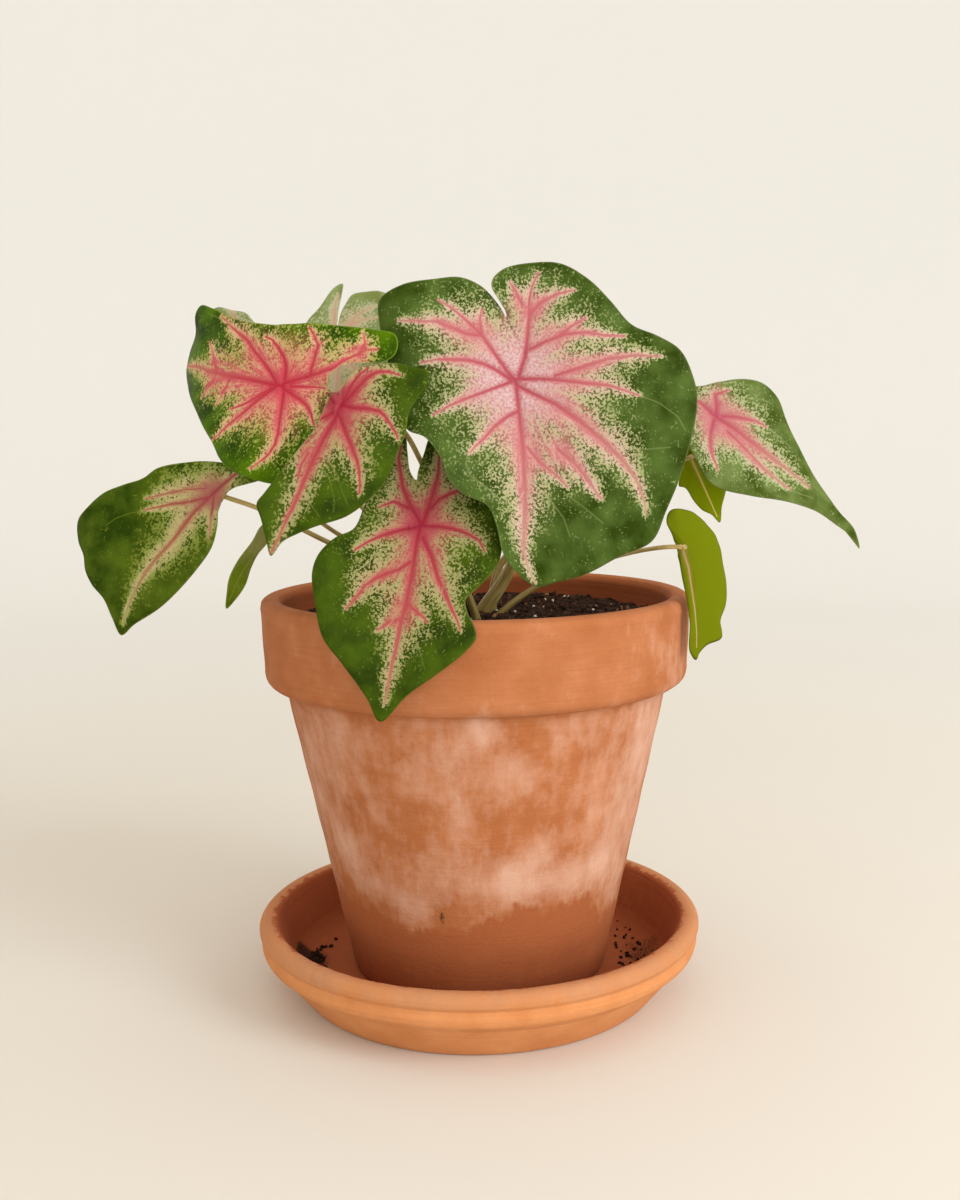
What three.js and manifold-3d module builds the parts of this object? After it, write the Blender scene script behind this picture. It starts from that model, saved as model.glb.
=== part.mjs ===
// A caladium growing in a rolled-rim terracotta pot that stands in its saucer. Millimetres, +Z up,
// the viewer's side at -Y, origin at the centre of the saucer's underside.
//
// Eleven heart-shaped leaves each have a blade and a stalk of their own. The stalks rise from a tuber
// buried in the soil, through plain holes, and each blade sits on the end of its stalk.
import * as THREE from "three";
import { mergeVertices } from "three/addons/utils/BufferGeometryUtils.js";
import Module from "manifold-3d";

const wasm = await Module();
wasm.setup();

// ---- Driving dimensions ---------------------------------------------------------------------

const SEAM = 0.3; // clearance that touching pieces keep
const TURNS = 48; // facets round the pot and the saucer

const POT_RADIUS = 102.5; // outside of the rolled rim: an eight-inch clay pot
const POT_FOOT_RADIUS = 61.5;
const POT_NECK_RADIUS = 92; // outside of the wall where it meets the rim
const POT_MOUTH_RADIUS = 94.5; // inside of the rim at its top
const POT_WALL = 8;
const POT_FLOOR = 9;
const DRAIN_RADIUS = 11;
const RIM_TOP = 194; // above the surface that the saucer stands on
const RIM_BOTTOM = 152.5; // underside of the rolled band

const SAUCER_RADIUS = 108.4;
const SAUCER_FOOT_RADIUS = 87;
const SAUCER_FLOOR = 9.5;
const SAUCER_TOP = 36;
const POT_BASE = SAUCER_FLOOR; // the pot's flat foot stands on the saucer's flat floor

const SOIL_TOP = 182; // at the pot's wall; the soil rises a little toward the crown
const SOIL_MOUND = 2;

const CROWN = new THREE.Vector3(-2, 2, 146); // centre of the buried tuber
const TUBER_RADIUS = 23;
const TUBER_HEIGHT = 12;

const BLADE_THICKNESS = 0.9;
const BLADE_RINGS = [0.3, 0.6, 0.85, 1]; // from the hub of the blade out to its margin
const MARGIN_STEPS = 2; // facets between two points of a margin
const STALK_SIDES = 8;
const STALK_STEPS = 13; // facets along a stalk, closer together near its ends
const STALK_STRAIGHT = 180; // a stalk stands upright from the tuber to this height
const STALK_HOLE = 0.6; // clearance of the hole in the soil that a stalk rises through
const STALK_PROBE = 5; // how far in front of the blade its near face is looked for

const COLOURS = {
  clay: 0xc4713f,
  saucerClay: 0xcf7f48,
  soil: 0x2b1a12,
  tuber: 0x6b4a2f,
  blade: 0x4f7a2c,
  paleBlade: 0x9aa65a,
  stalk: 0x8c8448,
};

// ---- The leaves -----------------------------------------------------------------------------
//
// A blade is drawn flat and then bent. In its flat frame u runs from the stalk to the tip and v runs
// across, to the right of a viewer who looks at the upper face with the tip down.
//   at       where the stalk meets the blade
//   tipward  direction of the midrib there, and facing: direction of the upper face
//   droop    how far the blade has curved away 50 mm from the stalk, toward the tip, the back lobes
//            and the sides
//   keel     depth of the valley along the midrib
//   hub      point of the flat blade that its rings spread from
//   ribs     [first, last, u, v]: between these points of the margin the rings spread from a rib
//            that reaches out to u, v instead, so that a hooked lobe is filled without a fold
//   margin   [u, v, lift] round the edge from the bottom of the notch, right lobe first; lift is how
//            far a wave raises the edge above the drooping blade
//   foot     where the stalk leaves the soil; girth: its radius there and at the blade
//   stalk    points it passes on the way up; under: 1 if it meets the lower face, -1 the upper one
const LEAVES = [
  {
    name: "right_front",
    at: [18, -88, 292], tipward: [0.09, -0.16, -1], facing: [0.04, -1, 0.2],
    droop: [4, 4, 5], keel: 5, hub: [7, 14],
    ribs: [[0, 9, -33, 26], [31, 39, -22, -28]],
    margin: [
      [-26, -1, 0], [-28, -1, 0], [-32, -3, 2], [-38, -6, 4], [-42, -5, 3], [-47, 1, 0],
      [-48, 11, 0], [-46, 23, 0], [-38, 34, 0], [-28, 42, -1], [-18, 50, -3], [-12, 60, -2],
      [-5, 68, 0], [5, 72, 0], [16, 73, 0], [43, 65, -2], [59, 57, -3], [71, 50, -2],
      [76, 36, 0], [82, 21, 2], [84, 9, 2], [85, 1, 3], [80, -6, 4], [71, -12, 5],
      [59, -14, 6], [51, -17, 7], [45, -27, 8], [38, -32, 8], [30, -34, 6], [22, -39, 6],
      [17, -46, 0], [7, -48, -4], [-12, -51, -6], [-29, -53, -5], [-38, -52, -4],
      [-43, -42, -1], [-44, -28, 0], [-44, -18, 0], [-40, -10, 0], [-33, -4, -2],
    ],
    foot: [2, 0], girth: [5.5, 1.9], under: 1,
    stalk: [[17, -12, 207], [23, -36, 245], [21, -64, 278], [18.5, -79, 290]],
  },
  {
    name: "left_upper",
    at: [-79, -74, 291], tipward: [-1, 0.62, 0.12], facing: [-0.35, -1, 0.25],
    droop: [9, 5, 4], keel: 4, hub: [9, -12],
    ribs: [[0, 8, -28, -15], [15, 22, 44, -5]],
    margin: [
      [-23, -1, 0], [-23, -5, 1], [-27, -9, 2], [-34, -12, 2], [-44, -13, 2], [-51, -16, 2],
      [-52, -21, 1], [-49, -26, 0], [-40, -27, -1], [-26, -27, -1], [-9, -27, 0], [9, -25, 1],
      [25, -26, 1], [40, -29, 1], [54, -33, 2], [66, -35, 3], [70, -31, 3], [72, -24, 0],
      [80, -17, -2], [85, -10, -4], [73, 1, -2], [53, 14, 0], [37, 25, 0], [24, 35, 0],
      [10, 40, 0], [-13, 41, -2], [-24, 34, -3], [-31, 23, -4], [-32, 11, -4], [-27, 2, -2],
    ],
    foot: [-13, 2], girth: [3, 1.8], under: 1,
    stalk: [[-30, -24, 222], [-48, -42, 252], [-66, -58, 275], [-75, -66, 288]],
  },
  {
    name: "left_front",
    at: [-52, -104, 282], tipward: [-0.45, -0.12, -1], facing: [0.15, -1, 0.35],
    droop: [2, 8, 14], keel: 3, hub: [7, 4], ribs: [],
    margin: [
      [-5, -3, 0], [-11, -2, 0], [-16, 0, 0], [-20, 5, 0], [-25, 15, 0], [-26, 22, 1],
      [-27, 26, 2], [-22, 28, 0], [-16, 27, -1], [-9, 26, 0], [0, 28, 0], [9, 28, 0],
      [20, 28, 0], [32, 24, 0], [40, 19, 0], [48, 10, 1], [54, 4, 1], [59, 0, 1],
      [66, -2, 2], [61, -6, 2], [54, -11, 3], [49, -15, 3], [44, -14, 2], [36, -12, 1],
      [24, -9, 0], [13, -6, 0], [2, -6, -4], [-4, -6, -8],
    ],
    foot: [-8, -6], girth: [2.9, 1.8], under: 1,
    stalk: [[-9, -20, 211], [-17, -46, 243], [-23, -63, 260], [-29, -73, 271.5], [-40, -88, 279]],
  },
  {
    name: "centre_front",
    at: [-22, -91, 233], tipward: [-0.2, -0.42, -1], facing: [0.05, -1, 0.2],
    droop: [5, 2, 4], keel: 3, hub: [14, -1],
    ribs: [[0, 6, -19, 5], [28, 35, -22, -12]],
    margin: [
      [-19, -5, 0], [-23, -5, 0], [-32, -4, 0], [-39, -3, 0], [-43, 1, 0], [-41, 9, -1],
      [-31, 19, -2], [-17, 26, -2], [-4, 32, -1], [5, 35, 0], [14, 33, 0], [22, 28, 0],
      [28, 24, 1], [33, 26, 0], [37, 29, 0], [42, 31, 0], [48, 28, 0], [58, 19, 0],
      [69, 8, 0], [81, -1, 0], [73, -8, 0], [62, -20, 0], [53, -30, 0], [39, -36, 0],
      [29, -39, 1], [21, -38, 2], [13, -33, 2], [7, -26, 1], [-3, -24, 0], [-14, -22, 0],
      [-25, -19, -1], [-34, -16, -1], [-37, -13, 0], [-31, -11, 0], [-22, -8, 0],
    ],
    foot: [1, -13], girth: [3, 1.9], under: 1,
    stalk: [[-6, -28, 203], [-14, -56, 220], [-20, -78, 230]],
  },
  {
    name: "far_left",
    at: [-117, -40, 245], tipward: [-0.6, 0.05, -0.9], facing: [-0.15, -1, 0.25],
    droop: [5, 5, 6], keel: 4, hub: [3, -8],
    ribs: [[0, 6, -15, 9], [16, 26, 54, -5]],
    margin: [
      [-7, 7, 0], [-12, 11, -1], [-17, 15, -2], [-21, 15, -3], [-21, 9, -3], [-16, 0, -1],
      [-10, -11, 0], [-3, -20, 0], [5, -28, 1], [13, -32, 0], [21, -39, 0], [30, -46, 0],
      [40, -50, 0], [49, -52, -1], [57, -47, -1], [61, -41, 0], [67, -37, 0], [71, -31, 0],
      [73, -22, 1], [79, -15, 0], [84, -8, 0], [75, -4, 0], [60, 4, 0], [46, 9, 0],
      [33, 12, 0], [20, 13, 0], [11, 10, -1], [5, 6, -2], [0, 5, -2],
    ],
    foot: [-17, -6], girth: [2.8, 1.6], under: 1,
    stalk: [[-38, -17, 207], [-66, -30, 221], [-96, -35, 237], [-112, -36, 243]],
  },
  {
    name: "young_left",
    at: [-91, -45, 231], tipward: [-0.45, 0.05, -0.85], facing: [0.3, -1, 0.1],
    droop: [2, 2, 10], keel: 8, hub: [23, -2], ribs: [],
    margin: [
      [-3, 1, 0], [2, -3, -1], [11, -4, -1], [21, -6, 0], [30, -6, 0], [37, -4, 0],
      [44, -1, 0], [38, 1, 0], [30, 2, 0], [22, 1, 0], [15, 1, 0], [7, 3, 0], [0, 4, 0],
    ],
    foot: [-11, -14], girth: [2.4, 1.3], under: 1,
    stalk: [[-34, -26, 207], [-62, -37, 226], [-78, -41, 237], [-87, -40, 238], [-91, -40, 234]],
  },
  {
    name: "far_right",
    at: [109, -38, 276], tipward: [0.8, 0.05, -0.6], facing: [0.1, -1, 0.3],
    droop: [5, 4, 7], keel: 4, hub: [23, 4], ribs: [],
    margin: [
      [-11, -4, 0], [-16, -1, 0], [-17, 4, 0], [-13, 8, 0], [-7, 15, 0], [2, 23, 0],
      [10, 26, 0], [18, 26, -1], [27, 21, -1], [39, 15, -1], [53, 9, 0], [67, 6, 0],
      [77, 4, 1], [87, 3, 2], [96, -1, 0], [86, -1, 2], [76, -2, 1], [67, -3, 0],
      [61, -5, 0], [48, -11, 0], [34, -19, 0], [22, -25, 0], [13, -27, 0], [6, -24, 0],
      [-2, -20, 0], [-9, -17, 0], [-13, -12, 0],
    ],
    foot: [8, 9], girth: [2.9, 1.8], under: 1,
    stalk: [[13, 7, 207], [38, -6, 225], [66, -18, 244], [93, -27, 264], [106, -31, 274]],
  },
  {
    name: "small_right",
    at: [101, -18, 258], tipward: [0.42, 0.05, -0.9], facing: [0.2, -1, 0.1],
    droop: [1, 2, 5], keel: -6, hub: [12, 2], ribs: [],
    margin: [
      [-4, -1, 0], [-4, 4, 0], [2, 12, 0], [12, 14, 0], [22, 10, 0], [28, 4, 0], [34, 0, 0],
      [29, -2, 0], [25, -5, 0], [19, -7, 0], [12, -8, 0], [10, -10, -1], [5, -7, -1], [0, -5, 0],
    ],
    foot: [3, 18], girth: [2.6, 1.3], under: -1,
    stalk: [[18, 14, 206], [48, 0, 231], [82, -17, 251], [97, -24, 257]],
  },
  {
    name: "low_right",
    at: [93, -48, 219], tipward: [0.12, 0.02, -1], facing: [0.25, -1, 0.2],
    droop: [3, 6, 8], keel: -3, hub: [8, 8], ribs: [],
    margin: [
      [-12, -6, 0], [-17, -3, 0], [-15, 6, 0], [-10, 12, 0], [-1, 18, 0], [8, 20, 0],
      [20, 21, 0], [30, 20, 0], [37, 16, 0], [45, 16, 0], [47, 8, 0], [50, 4, 0],
      [53, 2, 0], [48, -1, 0], [35, 0, 0], [25, 0, -1], [14, -1, -2], [2, -2, -2], [-6, -4, -1],
    ],
    foot: [9, -6], girth: [2.3, 1.2], under: -1,
    stalk: [[30, -12, 198], [51, -22, 208], [71, -33, 215], [86, -49, 219]],
  },
  {
    name: "back_left",
    at: [-65, 22, 311], tipward: [-0.1, -0.1, -1], facing: [0.05, -1, 0.25],
    droop: [4, 4, 5], keel: 3, hub: [14, -5],
    ribs: [[0, 9, -9, 7], [17, 23, -27, -8]],
    margin: [
      [-11, -2, 0], [-18, -1, 0], [-23, 1, 0], [-28, 4, 0], [-30, 10, 0], [-31, 17, 0],
      [-28, 24, 0], [-20, 29, 0], [-5, 31, 0], [11, 28, 0], [28, 19, 0], [43, 8, 0],
      [59, 0, 0], [44, -6, 0], [31, -15, 0], [14, -20, 0], [0, -20, 0], [-12, -17, 0],
      [-21, -11, 0], [-31, -5, 0], [-33, -1, 1], [-28, -1, 1], [-20, -2, 0],
    ],
    foot: [-6, 12], girth: [2.8, 1.7], under: 1,
    stalk: [[-18, 19, 212], [-38, 27, 250], [-58, 33, 290], [-64, 29, 307]],
  },
  {
    name: "back_far_left",
    at: [-109, 30, 310], tipward: [-0.55, 0.25, -0.8], facing: [-0.2, -1, 0.2],
    droop: [6, 5, 5], keel: 3, hub: [2, -3], ribs: [],
    margin: [
      [-11, 2, 0], [-17, 0, 0], [-14, -6, 0], [-15, -14, 0], [-12, -21, 0], [-8, -29, 0],
      [0, -31, 0], [10, -27, 0], [22, -22, 0], [32, -15, 0], [43, -6, 0], [32, 4, 0],
      [19, 13, 0], [7, 19, 0], [-6, 21, 0], [-15, 19, 0], [-17, 12, 0], [-15, 7, 0],
    ],
    foot: [-15, 11], girth: [2.8, 1.7], under: 1,
    stalk: [[-36, 24, 210], [-66, 33, 246], [-96, 38, 290], [-106, 37, 306]],
  },
];

// ---- Shared helpers -------------------------------------------------------------------------

function geometryOf(points, triangles) {
  const geometry = new THREE.BufferGeometry();
  const flat = points.flatMap((point) => [point.x, point.y, point.z]);
  geometry.setAttribute("position", new THREE.Float32BufferAttribute(flat, 3));
  geometry.setIndex(triangles.flat());
  return geometry;
}

function toManifold(geometry) {
  const bare = geometry.clone();
  bare.deleteAttribute("normal");
  bare.deleteAttribute("uv");
  const welded = mergeVertices(bare, 1e-4);
  const vertProperties = new Float32Array(welded.attributes.position.array);
  const triVerts = new Uint32Array(welded.index.array);
  return new wasm.Manifold(new wasm.Mesh({ numProp: 3, vertProperties, triVerts }));
}

function fromManifold(solid) {
  const mesh = solid.getMesh();
  const geometry = new THREE.BufferGeometry();
  geometry.setAttribute("position", new THREE.BufferAttribute(mesh.vertProperties, 3));
  geometry.setIndex(new THREE.BufferAttribute(mesh.triVerts, 1));
  return geometry;
}

// Turns a [radius, height] outline, listed counter-clockwise, round the pot's axis. It starts and
// ends on the axis or closes on itself.
function turned(outline) {
  const points = outline.map(([radius, height]) => new THREE.Vector2(radius, height));
  return new THREE.LatheGeometry(points, TURNS).rotateX(Math.PI / 2);
}

// Points along a quarter or half round, angles in degrees from the outward radius.
function arc(radius, height, size, from, to, steps) {
  return Array.from({ length: steps + 1 }, (_, step) => {
    const angle = THREE.MathUtils.degToRad(from + ((to - from) * step) / steps);
    return [radius + size * Math.cos(angle), height + size * Math.sin(angle)];
  });
}

function mesh(name, geometry, colour, roughness = 0.8) {
  const material = new THREE.MeshStandardMaterial({ color: colour, roughness, metalness: 0 });
  const made = new THREE.Mesh(geometry, material);
  made.name = name;
  return made;
}

// ---- Pot and saucer -------------------------------------------------------------------------

// Outside radius of the pot's tapered wall at a height under the rim.
function potOutside(height) {
  return THREE.MathUtils.mapLinear(height, POT_BASE, RIM_BOTTOM, POT_FOOT_RADIUS, POT_NECK_RADIUS);
}

// Radius of the space inside at a height: it widens behind the thick rolled rim.
function potInside(height) {
  if (height <= RIM_BOTTOM) return potOutside(height) - POT_WALL;
  const neck = potOutside(RIM_BOTTOM) - POT_WALL;
  return THREE.MathUtils.mapLinear(height, RIM_BOTTOM, RIM_TOP, neck, POT_MOUTH_RADIUS);
}

// Thrown clay pot: tapered wall, thick rolled rim with a rounded lip, one drain hole in the floor.
function potGeometry() {
  const lip = 5;
  const corner = 5; // round under the rolled rim
  const floorTop = POT_BASE + POT_FLOOR;
  const start = [DRAIN_RADIUS, POT_BASE];
  return turned([
    start,
    [POT_FOOT_RADIUS - 3, POT_BASE],
    [POT_FOOT_RADIUS, POT_BASE + 4],
    [potOutside(RIM_BOTTOM), RIM_BOTTOM],
    ...arc(POT_RADIUS - 1.5 - corner, RIM_BOTTOM + corner, corner, -90, 0, 3),
    [POT_RADIUS, RIM_TOP - 9],
    ...arc(POT_RADIUS - lip, RIM_TOP - lip, lip, 10, 150, 5),
    [potInside(RIM_TOP - 9), RIM_TOP - 9],
    [potInside(RIM_BOTTOM), RIM_BOTTOM],
    [potInside(floorTop + 6), floorTop + 6],
    [potInside(floorTop) - 6, floorTop],
    [DRAIN_RADIUS, floorTop],
    start,
  ]);
}

// Saucer: flat floor for the pot, a moat round it, and a rolled lip over two stepped bands.
function saucerGeometry() {
  return turned([
    [0, 0],
    [SAUCER_FOOT_RADIUS, 0],
    [101.5, 18],
    [104, 19.8],
    [106.6, 22],
    [107.4, 25.5],
    [106.6, 28.8],
    [108, 30.4],
    [SAUCER_RADIUS, 32.5],
    [107, 35.2],
    [104, SAUCER_TOP + 0.6],
    [99.6, SAUCER_TOP],
    [97.6, 32],
    [91, 14],
    [86, SAUCER_FLOOR],
    [0, SAUCER_FLOOR],
  ]);
}

// ---- Soil and tuber -------------------------------------------------------------------------

function soilHeight(x, y) {
  const radius = Math.hypot(x, y);
  const lumps = Math.sin(x * 0.19 + 1) * Math.cos(y * 0.17) + 0.6 * Math.sin(x * 0.31 - y * 0.27);
  return SOIL_TOP + SOIL_MOUND * Math.exp(-((radius / 35) ** 2)) + 0.9 * lumps;
}

function tuberTop(x, y) {
  const across = Math.hypot(x - CROWN.x, y - CROWN.y) / TUBER_RADIUS;
  return CROWN.z + TUBER_HEIGHT * Math.sqrt(Math.max(0, 1 - across * across));
}

function tuberGeometry(extra) {
  const geometry = new THREE.SphereGeometry(1, 18, 9);
  geometry.rotateX(Math.PI / 2);
  geometry.scale(TUBER_RADIUS + extra, TUBER_RADIUS + extra, TUBER_HEIGHT + extra);
  geometry.translate(CROWN.x, CROWN.y, CROWN.z);
  return geometry;
}

// Filled from the pot's floor to a lumpy top, closed round the pot's wall.
function soilBlock() {
  const columns = 40;
  const rings = 7;
  const bottom = POT_BASE + POT_FLOOR + 6;
  const wall = (height) => potInside(height) - 0.8;
  const round = (radius, column) => {
    const angle = (2 * Math.PI * column) / columns;
    return [radius * Math.cos(angle), radius * Math.sin(angle)];
  };
  const points = [new THREE.Vector3(0, 0, soilHeight(0, 0))];
  for (let ring = 1; ring <= rings; ring += 1) {
    for (let column = 0; column < columns; column += 1) {
      const [x, y] = round((wall(SOIL_TOP) * ring) / rings, column);
      points.push(new THREE.Vector3(x, y, soilHeight(x, y)));
    }
  }
  for (const height of [RIM_BOTTOM, bottom]) {
    for (let column = 0; column < columns; column += 1) {
      points.push(new THREE.Vector3(...round(wall(height), column), height));
    }
  }
  points.push(new THREE.Vector3(0, 0, bottom));
  const triangles = [];
  const at = (ring, column) => 1 + (ring - 1) * columns + (column % columns);
  for (let column = 0; column < columns; column += 1) {
    triangles.push([0, at(1, column), at(1, column + 1)]);
    for (let ring = 1; ring < rings + 2; ring += 1) {
      triangles.push([at(ring, column), at(ring + 1, column), at(ring + 1, column + 1)]);
      triangles.push([at(ring, column), at(ring + 1, column + 1), at(ring, column + 1)]);
    }
    triangles.push([at(rings + 2, column), points.length - 1, at(rings + 2, column + 1)]);
  }
  return geometryOf(points, triangles);
}

// The soil is hollow where the tuber lies, and each stalk rises through a plain hole.
function soilGeometry() {
  let soil = toManifold(soilBlock()).subtract(toManifold(tuberGeometry(SEAM)));
  for (const leaf of LEAVES) {
    soil = soil.subtract(toManifold(stalkGeometry(leaf, STALK_HOLE)));
  }
  return fromManifold(soil);
}

// ---- Leaves ---------------------------------------------------------------------------------

// The blade's three directions: u toward the tip, v across, w out of the upper face.
function bladeFrame(leaf) {
  const u = new THREE.Vector3(...leaf.tipward).normalize();
  const w = new THREE.Vector3(...leaf.facing);
  w.addScaledVector(u, -w.dot(u)).normalize();
  const v = new THREE.Vector3().crossVectors(w, u);
  return { u, v, w };
}

// Bends a point of the flat blade: it droops as the square of the distance from the stalk, and the
// midrib lies in a smooth valley.
function bladePoint(leaf, frame, u, v, lift) {
  const [tip, lobes, sides] = leaf.droop;
  const drooping = (u > 0 ? tip : lobes) * (u / 50) ** 2 + sides * (v / 50) ** 2;
  const valley = (leaf.keel * (Math.sqrt(v * v + 25) - 5)) / 25;
  return new THREE.Vector3(...leaf.at)
    .addScaledVector(frame.u, u)
    .addScaledVector(frame.v, v)
    .addScaledVector(frame.w, valley - drooping + lift);
}

// Where the rings of column `along` (counted in margin points) spread from, relative to the hub.
function ribReach(leaf, along) {
  const reach = new THREE.Vector2(0, 0);
  for (const [first, last, u, v] of leaf.ribs) {
    const part = (along - first) / (last - first);
    if (part >= 0 && part <= 1) {
      reach.add(new THREE.Vector2(u - leaf.hub[0], v - leaf.hub[1]).multiplyScalar(1 - (2 * part - 1) ** 2));
    }
  }
  return reach;
}

// Middle surface of a blade: the hub, then rings out to the margin.
function bladeSurface(leaf) {
  const frame = bladeFrame(leaf);
  const edge = new THREE.CatmullRomCurve3(leaf.margin.map((p) => new THREE.Vector3(...p)), true, "centripetal");
  const columns = leaf.margin.length * MARGIN_STEPS;
  const points = [bladePoint(leaf, frame, leaf.hub[0], leaf.hub[1], 0)];
  for (const ring of BLADE_RINGS) {
    for (let column = 0; column < columns; column += 1) {
      const rim = edge.getPoint(column / columns);
      const reach = ribReach(leaf, column / MARGIN_STEPS);
      const onRib = 1 - (1 - ring) ** 4;
      const u = leaf.hub[0] + reach.x * onRib + (rim.x - leaf.hub[0] - reach.x) * ring;
      const v = leaf.hub[1] + reach.y * onRib + (rim.y - leaf.hub[1] - reach.y) * ring;
      points.push(bladePoint(leaf, frame, u, v, rim.z * ring ** 3));
    }
  }
  const triangles = [];
  const at = (ring, column) => 1 + ring * columns + (column % columns);
  for (let column = 0; column < columns; column += 1) {
    triangles.push([0, at(0, column), at(0, column + 1)]);
    for (let ring = 0; ring < BLADE_RINGS.length - 1; ring += 1) {
      triangles.push([at(ring, column), at(ring + 1, column), at(ring + 1, column + 1)]);
      triangles.push([at(ring, column), at(ring + 1, column + 1), at(ring, column + 1)]);
    }
  }
  return { points, triangles, columns };
}

// Thickens the middle surface evenly and closes it round the margin.
function bladeGeometry(leaf) {
  const { points, triangles, columns } = bladeSurface(leaf);
  const middle = geometryOf(points, triangles);
  middle.computeVertexNormals();
  const normals = middle.attributes.normal;
  const face = (side) =>
    points.map((point, index) => {
      const normal = new THREE.Vector3().fromBufferAttribute(normals, index);
      return point.clone().addScaledVector(normal, (side * BLADE_THICKNESS) / 2);
    });
  const count = points.length;
  const faces = [...triangles, ...triangles.map(([a, b, c]) => [a + count, c + count, b + count])];
  const rim = count - columns;
  for (let column = 0; column < columns; column += 1) {
    const here = rim + column;
    const next = rim + ((column + 1) % columns);
    faces.push([here, here + count, next + count], [here, next + count, next]);
  }
  return geometryOf([...face(1), ...face(-1)], faces);
}

// Centre of a stalk's flat end: the seam short of the blade's near face, all round its edge.
function stalkEnd(leaf) {
  const { u, v, w } = bladeFrame(leaf);
  const away = w.multiplyScalar(-leaf.under);
  const toward = away.clone().negate();
  const start = new THREE.Vector3(...leaf.at).addScaledVector(away, STALK_PROBE);
  const blade = new THREE.Mesh(bladeGeometry(leaf));
  let free = 2 * STALK_PROBE;
  for (let side = 0; side < STALK_SIDES; side += 1) {
    const angle = (2 * Math.PI * side) / STALK_SIDES;
    const from = start
      .clone()
      .addScaledVector(u, leaf.girth[1] * Math.cos(angle))
      .addScaledVector(v, leaf.girth[1] * Math.sin(angle));
    const [hit] = new THREE.Raycaster(from, toward).intersectObject(blade);
    free = hit ? Math.min(free, hit.distance) : free;
  }
  return { end: start.addScaledVector(toward, free - SEAM), away };
}

// The stalk stands on the tuber, rises upright out of the soil and bends over to the blade.
function stalkCurve(leaf) {
  const [x, y] = leaf.foot;
  const inward = new THREE.Vector2(CROWN.x - x, CROWN.y - y).setLength(leaf.girth[0]);
  const base = tuberTop(x + inward.x, y + inward.y) + SEAM;
  const { end, away } = stalkEnd(leaf);
  return new THREE.CatmullRomCurve3(
    [
      new THREE.Vector3(x, y, base),
      new THREE.Vector3(x, y, STALK_STRAIGHT - 9),
      new THREE.Vector3(x, y, STALK_STRAIGHT),
      ...leaf.stalk.map((point) => new THREE.Vector3(...point)),
      end.clone().addScaledVector(away, 3),
      end,
    ],
    false,
    "centripetal",
  );
}

// A round stalk that tapers quickly above its sheathed foot, with flat ends. The hole that it rises
// through is the same shape, wider all round by `extra` and open to the tuber below.
function stalkGeometry(leaf, extra = 0) {
  const curve = stalkCurve(leaf);
  const fine = 90;
  const frames = curve.computeFrenetFrames(fine, false);
  const points = [];
  const triangles = [];
  for (let step = 0; step <= STALK_STEPS; step += 1) {
    const stop = Math.round((fine / 2) * (1 - Math.cos((Math.PI * step) / STALK_STEPS)));
    const centre = curve.getPointAt(stop / fine);
    const thin = (1 - stop / fine) ** 1.5;
    const radius = THREE.MathUtils.lerp(leaf.girth[1], leaf.girth[0], thin) + extra;
    if (step === 0) centre.z -= 2 * extra;
    for (let side = 0; side < STALK_SIDES; side += 1) {
      const angle = (2 * Math.PI * side) / STALK_SIDES;
      const across = frames.normals[stop].clone().multiplyScalar(radius * Math.cos(angle));
      across.addScaledVector(frames.binormals[stop], radius * Math.sin(angle));
      points.push(across.add(centre));
    }
  }
  const at = (step, side) => step * STALK_SIDES + (side % STALK_SIDES);
  for (let side = 0; side < STALK_SIDES; side += 1) {
    for (let step = 0; step < STALK_STEPS; step += 1) {
      triangles.push([at(step, side), at(step, side + 1), at(step + 1, side + 1)]);
      triangles.push([at(step, side), at(step + 1, side + 1), at(step + 1, side)]);
    }
  }
  for (let side = 1; side < STALK_SIDES - 1; side += 1) {
    triangles.push([at(0, 0), at(0, side + 1), at(0, side)]);
    triangles.push([at(STALK_STEPS, 0), at(STALK_STEPS, side), at(STALK_STEPS, side + 1)]);
  }
  return geometryOf(points, triangles);
}

// ---- The whole plant ------------------------------------------------------------------------

const plant = new THREE.Group();
plant.add(mesh("saucer", saucerGeometry(), COLOURS.saucerClay));
plant.add(mesh("pot", potGeometry(), COLOURS.clay));
plant.add(mesh("soil", soilGeometry(), COLOURS.soil, 1));
plant.add(mesh("tuber", tuberGeometry(0), COLOURS.tuber));
for (const leaf of LEAVES) {
  const green = leaf.under > 0 ? COLOURS.blade : COLOURS.paleBlade;
  plant.add(mesh(`blade_${leaf.name}`, bladeGeometry(leaf), green, 0.5));
  plant.add(mesh(`stalk_${leaf.name}`, stalkGeometry(leaf), COLOURS.stalk, 0.6));
}

export default plant;
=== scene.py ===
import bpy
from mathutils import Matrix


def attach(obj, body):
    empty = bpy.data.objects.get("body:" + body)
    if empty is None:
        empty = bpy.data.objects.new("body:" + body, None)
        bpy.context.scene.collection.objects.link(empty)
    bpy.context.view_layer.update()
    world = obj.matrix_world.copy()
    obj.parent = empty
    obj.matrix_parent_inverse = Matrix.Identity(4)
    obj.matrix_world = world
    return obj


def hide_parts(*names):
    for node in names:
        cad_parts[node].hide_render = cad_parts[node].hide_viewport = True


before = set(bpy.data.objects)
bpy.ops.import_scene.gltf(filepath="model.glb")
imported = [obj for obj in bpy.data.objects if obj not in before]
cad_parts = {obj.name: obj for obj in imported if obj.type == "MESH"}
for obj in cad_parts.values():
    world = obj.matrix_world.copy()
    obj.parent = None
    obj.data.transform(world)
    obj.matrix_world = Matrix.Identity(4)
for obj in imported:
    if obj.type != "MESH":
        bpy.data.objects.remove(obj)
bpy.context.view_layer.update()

import bpy
import numpy as np
from mathutils import Matrix

# ---- Studio ---------------------------------------------------------------------------------
#
# A pale paper floor that curves up into a wall all round, as a studio cove does. One wide soft lamp
# stands high at the right front, a weaker one low in front, and the open top lets in even light.
MM = 0.001  # Blender measures in metres, and the sizes below are millimetres

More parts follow.
